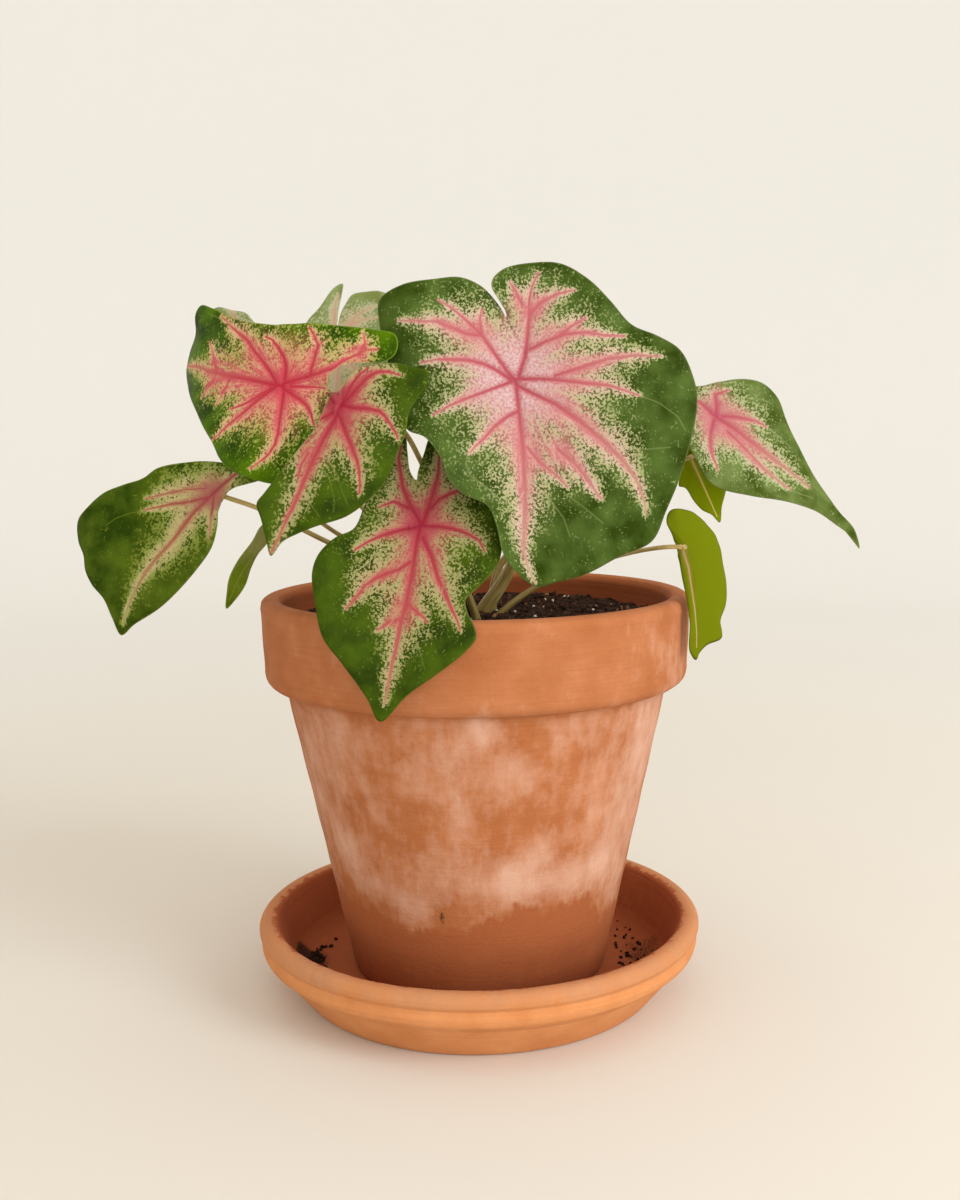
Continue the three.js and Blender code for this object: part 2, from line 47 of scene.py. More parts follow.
FLOOR_PAPER, FLOOR_PAPER_WORN, WALL_PAPER = "#ded9d0", "#dbd6cd", "#dfdfdc"
PAPER_GLOW = 0.07
FLOOR_RADIUS = 1400
COVE_RADIUS = 700  # of the curve from the floor into the wall
WALL_HEIGHT = 1500


def linear(colour):
    """An sRGB hex value as a linear colour: a straight foot, then a power of 2.4."""
    channels = np.array([int(colour[start:start + 2], 16) for start in (1, 3, 5)]) / 255
    curve = np.where(channels <= 0.04045, channels / 12.92, ((channels + 0.055) / 1.055) ** 2.4)
    return (*curve.tolist(), 1.0)


def unit(vector):
    """The vector at a length of 1."""
    return np.array(vector, float) / np.linalg.norm(vector)


def new_material(name, evens):
    """A material whose shader has these even values on its own sockets."""
    material = bpy.data.materials.new(name)
    material.use_nodes = True
    for socket, value in evens.items():
        material.node_tree.nodes["Principled BSDF"].inputs[socket].default_value = value
    return material


def add(material, kind, inputs=(), stops=(), out=None, **settings):
    """Adds a shader node and returns its first output, or the one of this name. Inputs are its
    sockets by name or place, each a number, a colour or the output that feeds it; stops are the
    places and colours of a ramp; settings are the node's own options."""
    tree = material.node_tree
    node = tree.nodes.new("ShaderNode" + kind)
    for setting, value in settings.items():
        setattr(node, setting, value)
    for key, value in dict(inputs).items():
        named = [socket for socket in node.inputs if socket.enabled and socket.name == key]
        socket = named[0] if named else node.inputs[key]
        if isinstance(value, bpy.types.NodeSocket):
            tree.links.new(value, socket)
        else:
            socket.default_value = linear(value) if isinstance(value, str) else value
    if stops:
        ramp = node.color_ramp
        while len(ramp.elements) < len(stops):
            ramp.elements.new(1.0)
        for element, (place, colour) in zip(ramp.elements, stops):
            element.position, element.color = place, linear(colour)
    return node.outputs[out] if out else next(output for output in node.outputs if output.enabled)


def feed(material, feeds):
    """Leads each output to the named socket of the material's shader."""
    shader = material.node_tree.nodes["Principled BSDF"]
    for socket, output in feeds.items():
        material.node_tree.links.new(output, shader.inputs[socket])


def grid_faces(count, columns, poles):
    """Corners of the faces of a grid of rows and columns whose columns close on themselves. With
    poles, its two last points close the first and the last row; without, the rows close too."""
    place = np.arange(count * columns).reshape(count, columns)
    beside = np.roll(place, -1, axis=1)
    above, across = np.roll(place, -1, axis=0), np.roll(beside, -1, axis=0)
    rows = slice(0, count - 1 if poles else count)
    quads = np.stack([place, beside, across, above], axis=-1)[rows].reshape(-1, 4)
    if not poles:
        return quads, np.empty((0, 3), int)
    first = np.full(columns, count * columns)
    start = np.stack([first, beside[0], place[0]], axis=-1)
    end = np.stack([first + 1, place[-1], beside[-1]], axis=-1)
    return quads, np.concatenate([start, end])


def build_mesh(name, points, quads, triangles, fields=None):
    """A smooth mesh of these points in millimetres, with its faces turned outward by the sign of
    the volume that they enclose. Fields are numbers, or triples of numbers, kept at each point."""
    a, b, c = (points[corners] for corners in np.concatenate(
        [quads[:, :3], quads[:, [0, 2, 3]], triangles]).T)
    if (a * np.cross(b, c)).sum() < 0:
        quads, triangles = quads[:, ::-1], triangles[:, ::-1]
    mesh = bpy.data.meshes.new(name)
    mesh.vertices.add(len(points))
    mesh.vertices.foreach_set("co", (points * MM).astype(np.float32).ravel())
    mesh.loops.add(quads.size + triangles.size)
    mesh.loops.foreach_set("vertex_index", np.concatenate([quads.ravel(), triangles.ravel()]))
    mesh.polygons.add(len(quads) + len(triangles))
    sides = np.repeat([4, 3], [len(quads), len(triangles)])
    mesh.polygons.foreach_set("loop_start", np.cumsum(sides) - sides)
    mesh.polygons.foreach_set("use_smooth", np.ones(len(sides), bool))
    for field, values in (fields or {}).items():
        kind, member = ("FLOAT", "value") if values.ndim == 1 else ("FLOAT_VECTOR", "vector")
        attribute = mesh.attributes.new(field, kind, "POINT")
        attribute.data.foreach_set(member, values.astype(np.float32).ravel())
    mesh.update(calc_edges=True)
    return mesh


def put(name, mesh, material, nodes=()):
    """Shows the mesh as a piece of the plant with this material, hung on the root body, and hides the
    CAD nodes that it stands for."""
    piece = bpy.data.objects.new(name, mesh)
    bpy.context.scene.collection.objects.link(piece)
    mesh.materials.append(material)
    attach(piece, "root")
    if nodes:
        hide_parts(*nodes)
    return piece


def turned(outline, columns):
    """Points of a [radius, height] outline turned round the vertical axis: row i, column j is the
    outline's point i at angle j, so x = radius cos, y = radius sin and z = height."""
    angle = np.linspace(0, 2 * np.pi, columns, endpoint=False)
    radius, height = outline[:, :1], outline[:, 1:]
    return np.stack([radius * np.cos(angle), radius * np.sin(angle), height + 0 * angle], axis=-1)


# Matt seamless paper: no gloss and no pattern. It glows a little away from the plant, as if lit
# again from behind, so the wall stays brighter than the floor.
paper = new_material("matt cream backdrop paper", {
    "Roughness": 1.0, "Specular IOR Level": 0.1, "Emission Color": linear("#fffdf6")})
where = add(paper, "TexCoord", out="Object")
far = add(paper, "VectorMath", {0: where}, operation="LENGTH", out="Value")
wear = add(paper, "TexNoise", {"Vector": where, "Scale": 2.5, "Detail": 3.0})
even = add(paper, "Mix", {"Factor": wear, "A": FLOOR_PAPER, "B": FLOOR_PAPER_WORN}, data_type="RGBA")
wall = add(paper, "MapRange", {0: far, 1: 0.15, 2: 1.5}, interpolation_type="SMOOTHSTEP")
feed(paper, {
    "Base Color": add(paper, "Mix", {"Factor": wall, "A": even, "B": WALL_PAPER}, data_type="RGBA"),
    "Emission Strength": add(paper, "Math", {0: wall, 1: PAPER_GLOW}, operation="MULTIPLY"),
})
paper.cycles.emission_sampling = "NONE"

# The cove's outline is a level run, a quarter circle and an upright run. The first fan of faces
# closes its middle, and the second, which would roof it, is left off.
COVE_SIDES = 96
bend = np.linspace(0, np.pi / 2, 24)[1:]
cove = np.concatenate([
    np.linspace(0, FLOOR_RADIUS, 20)[1:, None] * [1, 0],
    np.stack([FLOOR_RADIUS + COVE_RADIUS * np.sin(bend), COVE_RADIUS * (1 - np.cos(bend))], axis=1),
    [[FLOOR_RADIUS + COVE_RADIUS, WALL_HEIGHT]],
])
cove_rows = turned(cove, COVE_SIDES)
cove_quads, cove_fans = grid_faces(*cove_rows.shape[:2], poles=True)
floor_points = np.concatenate([cove_rows.reshape(-1, 3), [[0, 0, 0], [0, 0, WALL_HEIGHT]]])
floor_mesh = build_mesh("backdrop", floor_points, cove_quads, cove_fans[:COVE_SIDES])
floor_mesh.materials.append(paper)
floor = bpy.data.objects.new("backdrop", floor_mesh)
bpy.context.scene.collection.objects.link(floor)

world = bpy.context.scene.world or bpy.data.worlds.new("studio")
bpy.context.scene.world = world
world.use_nodes = True
world.node_tree.nodes["Background"].inputs["Color"].default_value = linear("#fff5e8")
world.node_tree.nodes["Background"].inputs["Strength"].default_value = 1.0


def lamp(name, place, aim, width, watts, colour):
    """A square soft lamp at a place, turned toward a point; both in millimetres."""
    light = bpy.data.lights.new(name, "AREA")
    light.size, light.energy, light.color = width * MM, watts, linear(colour)[:3]
    holder = bpy.data.objects.new(name, light)
    away = unit(np.array(place) - aim)
    side = unit(np.cross([0, 0, 1], away))
    turn = np.stack([side, np.cross(away, side), away], axis=1)
    holder.matrix_world = Matrix.Translation(np.array(place) * MM) @ Matrix(turn.tolist()).to_4x4()
    bpy.context.scene.collection.objects.link(holder)


lamp("key", (1400, -1100, 950), (0, 0, 150), 900, 22, "#f2f9ff")
lamp("low front", (300, -1500, 300), (0, 0, 60), 1200, 10, "#fff8f0")

# The camera stands level with the leaves and looks slightly down.
LENS = 39.12  # mm, on a frame 36 mm high
CAMERA_PLACE = (2.38, -627.34, 270.99)
CAMERA_DOWN = np.radians(7.362)
CAMERA_ROLL = -0.01267

level = np.array([1.0, 0, 0])
upright = np.array([0, np.sin(CAMERA_DOWN), np.cos(CAMERA_DOWN)])
ahead = np.array([0, np.cos(CAMERA_DOWN), -np.sin(CAMERA_DOWN)])
camera_x = np.cos(CAMERA_ROLL) * level + np.sin(CAMERA_ROLL) * upright
camera_y = np.cos(CAMERA_ROLL) * upright - np.sin(CAMERA_ROLL) * level
turn = Matrix(np.stack([camera_x, camera_y, -ahead], axis=1).tolist())
camera = bpy.data.objects.new("camera", bpy.data.cameras.new("camera"))
camera.data.lens, camera.data.sensor_width = LENS, 36
camera.data.clip_start = 0.05
camera.matrix_world = Matrix.Translation(np.array(CAMERA_PLACE) * MM) @ turn.to_4x4()
bpy.context.scene.collection.objects.link(camera)
bpy.context.scene.camera = camera
bpy.context.scene.view_settings.view_transform = "Standard"

# ---- Saucer ---------------------------------------------------------------------------------
#
# A shallow thrown dish of unglazed terracotta with two stepped bands under a rolled lip. The pot
# stands loose on its flat floor, and washed-out soil has dried in the moat round it.
# The outline goes from the middle of the underside round the lip to the middle of the floor, and
# each corner is rounded by the cut of the same place.
SAUCER_FLOOR = 9.5
SAUCER_SIDES = 240
SAUCER_OUTLINE = np.array([
    [0, 0], [87, 0], [101.5, 18], [104, 19.6], [106.6, 22], [107.4, 25.5], [106.6, 28.8], [108, 30.4],
    [108.4, 32.5], [107, 35.4], [104, 36.6], [99.6, 36], [97.6, 32], [91, 14], [86, SAUCER_FLOOR],
    [0, SAUCER_FLOOR],
])
SAUCER_CUTS = np.array([0, 2, 1.2, 1, 1.6, 1.6, 1, 1, 1, 1.5, 1.6, 2, 2, 3, 3, 0])


def rounded(outline, cuts, steps=5):
    """The outline with each corner replaced by a parabola: it starts a cut before the corner, ends a
    cut after it, and leans on the corner between them."""
    before, after = np.roll(outline, 1, axis=0), np.roll(outline, -1, axis=0)
    toward = [(near - outline) / np.linalg.norm(near - outline, axis=1, keepdims=True)
              for near in (before, after)]
    start, end = (outline + cuts[:, None] * way for way in toward)
    s = np.linspace(0, 1, steps)[None, :, None]
    curve = (1 - s) ** 2 * start[:, None] + 2 * s * (1 - s) * outline[:, None] + s ** 2 * end[:, None]
    return curve.reshape(-1, 2)[np.repeat(cuts > 0, steps) | (np.tile(np.arange(steps), len(cuts)) == 0)]


def filled(outline, spacing):
    """The outline with points added along its long straight runs, at this spacing."""
    length = np.concatenate([[0], np.cumsum(np.linalg.norm(np.diff(outline, axis=0), axis=1))])
    places = np.union1d(length, np.arange(0, length[-1], spacing))
    places = places[np.concatenate([[True], np.diff(places) > 1e-6])]
    return np.stack([np.interp(places, length, outline[:, axis]) for axis in (0, 1)], axis=1)


def thrown(rows, ridge, wobble, phase):
    """Adds what the wheel and the hand leave: rings of this ridge in millimetres about 3 mm apart up
    the wall, and a wobble that makes the round slightly oval. Both act along the radius."""
    angle = np.arctan2(rows[..., 1], rows[..., 0])
    radius = np.hypot(rows[..., 0], rows[..., 1])
    rings = ridge * np.sin(2.1 * rows[..., 2] + 0.5 * np.sin(2 * angle + phase))
    oval = wobble * np.sin(2 * angle + phase) * radius / 100
    grown = 1 + (rings + oval) * np.minimum(1, radius / 40) / np.maximum(radius, 1)
    return rows * np.stack([grown, grown, np.ones_like(grown)], axis=-1)


# Unglazed terracotta, earthenware fired soft: matt, finely pitted, with paler and darker clouds.
# Where it stays damp it is a deep red brown, and lime from the water dries on it as a pale bloom.
# The clouds are 24 mm wide, the mottle 7 mm, and the grit 0.8 mm, coarser than real clay so that it
# shows. Finger rings are 0.9 mm high, and water's runs are 24 mm long and 6 mm wide.
def fired_clay(name, pale, body, dark, lime, damp, deep):
    """A terracotta material of these six colours, from three fields that the mesh keeps: how thick
    the lime and the dirt lie, 0 to 1, and how many millimetres a point lies inside the damp clay."""
    clay = new_material(name, {"Specular IOR Level": 0.15})
    place = add(clay, "TexCoord", out="Object")
    spot = add(clay, "VectorMath", {0: place, 3: 1 / MM}, operation="SCALE")
    run = add(clay, "VectorMath", {0: spot, 1: (1 / 6, 1 / 6, 1 / 24)}, operation="MULTIPLY")
    turn = add(clay, "VectorMath", {0: spot, 1: (1 / 40, 1 / 40, 1 / 0.9)}, operation="MULTIPLY")
    clouds = add(clay, "TexNoise", {"Vector": spot, "Scale": 1 / 24, "Detail": 5.0, "Roughness": 0.6})
    grit = add(clay, "TexNoise", {"Vector": spot, "Scale": 1 / 0.8, "Detail": 2.0})
    runs = add(clay, "TexNoise", {"Vector": run, "Scale": 1.0, "Detail": 5.0, "Roughness": 0.6})
    wheel = add(clay, "TexNoise", {"Vector": turn, "Scale": 1.0, "Detail": 2.0})
    mottle = add(clay, "TexNoise", {"Vector": spot, "Scale": 1 / 7, "Detail": 6.0, "Roughness": 0.7})

    # The fired body, paler at its grains and in the rings that the thrower's fingers left.
    colour = add(clay, "ValToRGB", {0: clouds}, stops=[(0.3, dark), (0.5, body), (0.72, pale)])
    grains_show = add(clay, "MapRange", {0: grit, 1: 0.35, 2: 0.75, 3: 0.0, 4: 0.3})
    colour = add(clay, "Mix", {"Factor": grains_show, "A": colour, "B": pale}, data_type="RGBA")
    rings_show = add(clay, "MapRange", {0: wheel, 1: 0.4, 2: 0.7, 3: 0.0, 4: 0.3})
    colour = add(clay, "Mix", {"Factor": rings_show, "A": colour, "B": dark}, data_type="RGBA")

    # Water runs down the wall, so the lime is worn into upright streaks.
    bloom = add(clay, "Attribute", attribute_name="lime", out="Fac")
    bloom = add(clay, "Math", {0: runs, 1: 1.2, 2: bloom}, operation="MULTIPLY_ADD")
    bloom = add(clay, "Math", {0: clouds, 1: 1.4, 2: bloom}, operation="MULTIPLY_ADD")
    bloom = add(clay, "Math", {0: mottle, 1: 0.8, 2: bloom}, operation="MULTIPLY_ADD")
    bloom = add(clay, "MapRange", {0: bloom, 1: 1.6, 2: 2.7, 3: 0.0, 4: 0.9})
    colour = add(clay, "Mix", {"Factor": bloom, "A": colour, "B": lime}, data_type="RGBA")

    # Damp climbs in ragged fingers and hides the lime.
    depth = add(clay, "Attribute", attribute_name="damp", out="Fac")
    depth = add(clay, "Math", {0: runs, 1: 30.0, 2: depth}, operation="MULTIPLY_ADD")
    wet = add(clay, "MapRange", {0: depth, 1: 13.0, 2: 17.0, 3: 0.0, 4: 0.92})
    colour = add(clay, "Mix", {"Factor": wet, "A": colour, "B": damp}, data_type="RGBA")
    deeper = add(clay, "MapRange", {0: depth, 1: 30.0, 2: 72.0})
    colour = add(clay, "Mix", {"Factor": deeper, "A": colour, "B": deep}, data_type="RGBA")

    # Washed-out soil dries in specks where the dirt field is high.
    dirt = add(clay, "Attribute", attribute_name="dirt", out="Fac")
    dirt = add(clay, "Math", {0: clouds, 1: 0.8, 2: dirt}, operation="MULTIPLY_ADD")
    dirt = add(clay, "Math", {0: grit, 1: 0.8, 2: dirt}, operation="MULTIPLY_ADD")
    soiled = add(clay, "MapRange", {0: dirt, 1: 1.15, 2: 1.4, 3: 0.0, 4: 0.9})
    colour = add(clay, "Mix", {"Factor": soiled, "A": colour, "B": "#2a1a10"}, data_type="RGBA")

    pits = add(clay, "TexNoise", {"Vector": spot, "Scale": 1 / 2.5, "Detail": 3.0})
    relief = add(clay, "Math", {0: pits, 1: grit}, operation="ADD")
    relief = add(clay, "Math", {0: wheel, 1: relief}, operation="ADD")
    feed(clay, {
        "Base Color": colour,
        "Normal": add(clay, "Bump", {"Strength": 0.5, "Distance": 0.3 * MM, "Height": relief}),
        "Roughness": add(clay, "MapRange", {0: grit, 1: 0.3, 2: 0.7, 3: 0.82, 4: 0.95}),
    })
    return clay


def smooth_share(value, start, end):
    """0 up to the start, 1 from the end on, and 3s^2 - 2s^3 between."""
    s = np.clip((value - start) / (end - start), 0, 1)
    return s * s * (3 - 2 * s)


saucer_line = filled(rounded(SAUCER_OUTLINE, SAUCER_CUTS), 4)[1:-1]
saucer_rows = thrown(turned(saucer_line, SAUCER_SIDES), ridge=0.06, wobble=0.25, phase=0.6)
saucer_rows[..., 2] = np.maximum(saucer_rows[..., 2], 0)
saucer_points = np.concatenate([saucer_rows.reshape(-1, 3), [[0, 0, 0], [0, 0, SAUCER_FLOOR]]])
x, y, z = saucer_points.T
within = (np.arange(len(saucer_line)) > saucer_line[:, 1].argmax()).repeat(SAUCER_SIDES)
within = np.append(within, [False, True])  # the middles of the underside and of the floor
# Washed-out soil has settled at the left and, thinner, at the right.
left_heap = smooth_share(-x, 66, 84) * smooth_share(np.abs(y + 10), 26, 12)
right_heap = smooth_share(x, 60, 84) * smooth_share(np.abs(y + 5), 40, 10)
saucer_mesh = build_mesh(
    "clay_saucer", saucer_points, *grid_faces(*saucer_rows.shape[:2], poles=True),
    {
        "lime": 0.9 * smooth_share(z, 26, 34) - 0.3,
        "damp": np.where(within, np.minimum(20, 8 * (36 - z)), -40.0),
        "dirt": 0.75 * np.maximum(left_heap, 0.6 * right_heap) * within * smooth_share(z, 20, 12),
    })
saucer_clay = fired_clay(
    "dusty terracotta", pale="#d6945f", body="#cc8856", dark="#c07a48",
    lime="#b47f5c", damp="#a35430", deep="#8a4a28")
put("clay_saucer", saucer_mesh, saucer_clay, ["saucer"])

# ---- Pot ------------------------------------------------------------------------------------
#
# A thrown terracotta pot, an eight-inch size: a tapered wall, a thick rolled band at the rim and one
# drain hole in its floor. It stands in the saucer, and its clay draws up water from there.
# The outline goes from the drain hole out under the floor, up the wall, over the rim and back down
# inside to the hole.
POT_OUTLINE = np.array([
    [11, SAUCER_FLOOR], [61.5, SAUCER_FLOOR], [92, 152.5], [101, 152.5], [102.5, 189], [102.5, 194],
    [92.9, 194], [92.2, 185], [84, 152.5], [56.5, 24.5], [54, 18.5], [11, 18.5],
])
POT_CUTS = np.array([1, 3.5, 2, 6.5, 0.4, 4.4, 4.4, 4.4, 5, 4, 5, 1])
# Where lime has bloomed on the front: degrees from the front toward the right, height, half width,
# half height and strength.
BLOOMS = [
    (1, 147, 6, 9, 0.8), (-42, 142, 9, 14, 0.35), (-62, 122, 14, 22, 0.5), (-2, 130, 18, 14, 0.25),
    (-6, 110, 3, 13, 0.4), (14, 122, 12, 10, 0.3), (28, 147, 10, 6, 0.3), (64, 125, 20, 34, 0.7),
    (52, 98, 8, 22, 0.5), (-52, 80, 12, 10, 0.7), (-42, 67, 11, 7, 0.6), (-26, 60, 13, 7, 0.5),
    (-8, 76, 18, 12, 0.5), (12, 77, 9, 9, 0.7), (22, 84, 7, 13, 0.6), (18, 69, 14, 7, 0.6),
    (34, 71, 12, 9, 0.7), (48, 74, 10, 12, 0.7), (64, 64, 10, 14, 0.7), (-80, 90, 14, 50, 0.5),
    (60, 170, 30, 40, 0.35), (-50, 105, 16, 30, 0.2),
]
# The line up to which the front is damp: degrees from the front, height.
DAMP_LINE = np.array([
    (-180, 56), (-120, 60), (-75, 54), (-58, 57), (-38, 54), (-26, 49), (-15, 52), (-5, 50), (5, 56),
    (12, 60), (36, 61), (44, 58), (54, 48), (75, 46), (120, 58), (180, 56),
])


def bloom_over(degrees, height, blooms):
    """The sum over all blooms of strength e^(-(a / half width)^2 - (h / half height)^2), where a is
    the way round the wall from the bloom's middle and h the way up from it."""
    lime = np.zeros_like(height)
    for middle, level, half_width, half_height, strength in blooms:
        around = np.radians((degrees - middle + 180) % 360 - 180) * 80
        lime += strength * np.exp(-(around / half_width) ** 2 - ((height - level) / half_height) ** 2)
    return lime


pot_line = filled(rounded(POT_OUTLINE, POT_CUTS, 7), 3.5)
pot_rows = thrown(turned(pot_line, 216), ridge=0.1, wobble=0.35, phase=2.0)
x, y, z = np.moveaxis(pot_rows, -1, 0)
degrees = np.degrees(np.arctan2(x, -y))
back_blooms = np.random.default_rng(5).uniform(
    (100, 62, 8, 8, 0.3), (260, 145, 20, 26, 0.8), (22, 5))
inner = (np.arange(len(pot_line)) > pot_line[:, 1].argmax())[:, None]
band = smooth_share(z, 149, 153)
pot_faces = grid_faces(*pot_rows.shape[:2], poles=False)
pot_mesh = build_mesh("clay_pot", pot_rows.reshape(-1, 3), *pot_faces, {
    "lime": (bloom_over(degrees, z, [*BLOOMS, *back_blooms]) - 0.35 * band).ravel(),
    "damp": np.where(inner, 12 * (193 - z), np.interp(degrees, *DAMP_LINE.T) - z).ravel(),
    "dirt": np.exp(-((degrees + 13) / 1.5) ** 2 - ((z - 56) / 6) ** 2).ravel() * 0.75,
})
pot_clay = fired_clay(
    "weathered terracotta", pale="#b67650", body="#a96840", dark="#9e5c34",
    lime="#cba089", damp="#9e5832", deep="#874626")
put("clay_pot", pot_mesh, pot_clay, ["pot"])

# ---- Soil -----------------------------------------------------------------------------------
#
# Peat potting soil, filled to just under the rim and level apart from its crumbs. White grains of
# perlite and scraps of bark lie in its surface, and some has washed out into the saucer.
SOIL_TOP = 182
SOIL_MOUND = 2  # how far its middle stands up
SOIL_RADIUS = 90.8  # at its top, just clear of the clay
SOIL_FLOOR = 26


def random_heights(x, y, size, seed):
    """Smooth random heights from -1 to 1: seeded values at the corners of squares of this size,
    blended across each square by 3s^2 - 2s^3."""
    table = np.random.default_rng(seed).uniform(-1, 1, (64, 64))
    left, front = np.floor(x / size).astype(int), np.floor(y / size).astype(int)
    s, t = x / size - left, y / size - front
    s, t = s * s * (3 - 2 * s), t * t * (3 - 2 * t)
    corner = [table[(left + i) % 64, (front + j) % 64] for i in (0, 1) for j in (0, 1)]
    return (1 - s) * ((1 - t) * corner[0] + t * corner[1]) + s * ((1 - t) * corner[2] + t * corner[3])


def soil_height(x, y):
    """The level of the soil: a low mound at the crown, slow lumps, and crumbs of 6, 3 and 1.6 mm."""
    lumps = np.sin(x * 0.19 + 1) * np.cos(y * 0.17) + 0.6 * np.sin(x * 0.31 - y * 0.27)
    crumbs = sum(rise * random_heights(x, y, size, seed)
                 for rise, size, seed in ((0.9, 6, 1), (0.8, 3, 2), (0.55, 1.6, 3)))
    mound = SOIL_MOUND * np.exp(-(x * x + y * y) / 35 ** 2)
    return SOIL_TOP + mound + 0.9 * lumps + crumbs


def soil_rows(rings, columns):
    """Rows spread from the middle to the pot's wall over the crumbs, then go down inside the wall:
    each is the outermost row, drawn in to a share of its radius and laid level."""
    angle = np.linspace(0, 2 * np.pi, columns, endpoint=False)[None]
    radius = SOIL_RADIUS * np.linspace(0, 1, rings + 1)[1:, None]
    x, y = radius * np.cos(angle), radius * np.sin(angle)
    top = np.stack([x, y, soil_height(x, y)], axis=-1)
    side = [top[-1] * [1, 1, 0] * share + [0, 0, level]
            for share, level in ((1, 176), (0.9, 152.5), (0.62, SOIL_FLOOR))]
    return np.concatenate([top, np.stack(side)])


soil_grid = soil_rows(110, 300)
soil_poles = [[0, 0, soil_height(0.0, 0.0)], [0, 0, SOIL_FLOOR]]
soil_points = np.concatenate([soil_grid.reshape(-1, 3), soil_poles])
soil_mesh = build_mesh("potting_soil", soil_points, *grid_faces(*soil_grid.shape[:2], poles=True))

# Moist peat: matt, redder brown on the crumbs that have dried. Its colour follows the noise that
# also raises its bumps, so its hollows are almost black: partly the peat's own dark brown and partly
# painted shade.
peat = new_material("moist peat soil", {"Roughness": 1.0, "Specular IOR Level": 0.15})
place = add(peat, "TexCoord", out="Object")
spot = add(peat, "VectorMath", {0: place, 3: 1 / MM}, operation="SCALE")
crumb = add(peat, "TexNoise", {"Vector": spot, "Scale": 1 / 3.0, "Detail": 6.0, "Roughness": 0.7})
tone_and_painted_shade = add(peat, "ValToRGB", {0: crumb}, stops=[
    (0.32, "#120a06"), (0.5, "#2c1a10"), (0.62, "#4a2e1c"), (0.8, "#6e4c32")])
fibre = add(peat, "TexVoronoi", {"Vector": spot, "Scale": 1 / 1.4}, feature="DISTANCE_TO_EDGE")
relief = add(peat, "Math", {0: crumb, 1: fibre}, operation="ADD")
bump = add(peat, "Bump", {"Strength": 0.9, "Distance": 0.8 * MM, "Height": relief})
feed(peat, {"Base Color": tone_and_painted_shade, "Normal": bump})
put("potting_soil", soil_mesh, peat, ["soil"])


def grains(places, widths, flatness, seed, rows=4, columns=6):
    """Lumps, each a closed form of two angles: a sphere squeezed to its flatness, its radius changed
    by a seeded amount at each point, turned at random and set at its place."""
    draw = np.random.default_rng(seed)
    count = len(places)
    tilt = np.linspace(0, np.pi, rows + 2)[1:-1][:, None]
    angle = np.linspace(0, 2 * np.pi, columns, endpoint=False)[None]
    across, up = np.sin(tilt), np.cos(tilt)
    ball = np.stack([across * np.cos(angle), across * np.sin(angle), up + 0 * angle], axis=-1)
    ball = np.concatenate([ball.reshape(-1, 3), [[0, 0, 1], [0, 0, -1]]])
    lumps = ball * draw.uniform(0.75, 1.15, (count, len(ball), 1)) * [1, 1, flatness]
    axes = np.linalg.qr(draw.normal(size=(count, 3, 3)))[0]
    points = np.einsum("nij,nkj->nki", axes, lumps) * widths[:, None, None] / 2 + places[:, None]
    quads, fans = grid_faces(rows, columns, poles=True)
    shift = np.arange(count)[:, None, None] * len(ball)
    return points.reshape(-1, 3), (quads + shift).reshape(-1, 4), (fans + shift).reshape(-1, 3)


draw = np.random.default_rng(11)


def on_soil(count):
    """Seeded places on the soil, even over its round top."""
    radius = 88 * np.sqrt(draw.uniform(0, 1, count))
    angle = draw.uniform(0, 2 * np.pi, count)
    x, y = radius * np.cos(angle), radius * np.sin(angle)
    return np.stack([x, y, soil_height(x, y)], axis=1)


# Perlite: puffed volcanic glass, chalk white and matt, in rough grains of 1 to 3 mm, with pores of
# 0.5 mm.
perlite = new_material("puffed perlite", {"Roughness": 0.85, "Specular IOR Level": 0.3})
place = add(perlite, "TexCoord", out="Object")
pores = add(perlite, "TexNoise", {"Vector": place, "Scale": 1 / (0.5 * MM), "Detail": 2.0})
feed(perlite, {
    "Base Color": add(perlite, "ValToRGB", {0: pores}, stops=[(0.35, "#9a8e7c"), (0.6, "#e6dfd0")]),
    "Normal": add(perlite, "Bump", {"Strength": 0.6, "Distance": 0.2 * MM, "Height": pores}),
})
grain_mesh = build_mesh("perlite", *grains(on_soil(90), draw.uniform(1.0, 2.8, 90), 0.8, 21))
put("perlite", grain_mesh, perlite)

crumb_spots = on_soil(1500)
crumb_mesh = build_mesh("soil_crumbs", *grains(crumb_spots, draw.uniform(0.9, 3.6, 1500), 0.7, 22))
put("soil_crumbs", crumb_mesh, peat)

# Bark and husk: dry tan scraps, long and flat.
bark = new_material("dry bark scraps", {"Roughness": 0.9, "Specular IOR Level": 0.2})
place = add(bark, "TexCoord", out="Object")
fleck = add(bark, "TexNoise", {"Vector": place, "Scale": 1 / (2 * MM), "Detail": 4.0})
tan = add(bark, "ValToRGB", {0: fleck}, stops=[(0.35, "#3a2616"), (0.55, "#7a5a38"), (0.7, "#a88a5e")])
feed(bark, {"Base Color": tan})
bark_mesh = build_mesh("bark_scraps", *grains(on_soil(140), draw.uniform(1.6, 4.5, 140), 0.22, 23))
put("bark_scraps", bark_mesh, bark)

# Washed-out soil lies on the saucer's floor in a dense heap at the left and a loose one at the right.
HEAP, SCATTER = 150, 60
angle = np.concatenate([
    draw.normal(np.radians(188), 0.17, HEAP), draw.normal(np.radians(-12), 0.3, SCATTER)])
radius = np.concatenate([draw.normal(82, 2.0, HEAP), draw.uniform(70, 86, SCATTER)])
washed = np.stack([radius * np.cos(angle), radius * np.sin(angle), SAUCER_FLOOR + 0.4 + 0 * angle], axis=1)
washed_mesh = build_mesh("washed_soil", *grains(washed, draw.uniform(0.9, 3.0, len(washed)), 0.6, 24))
put("washed_soil", washed_mesh, peat)

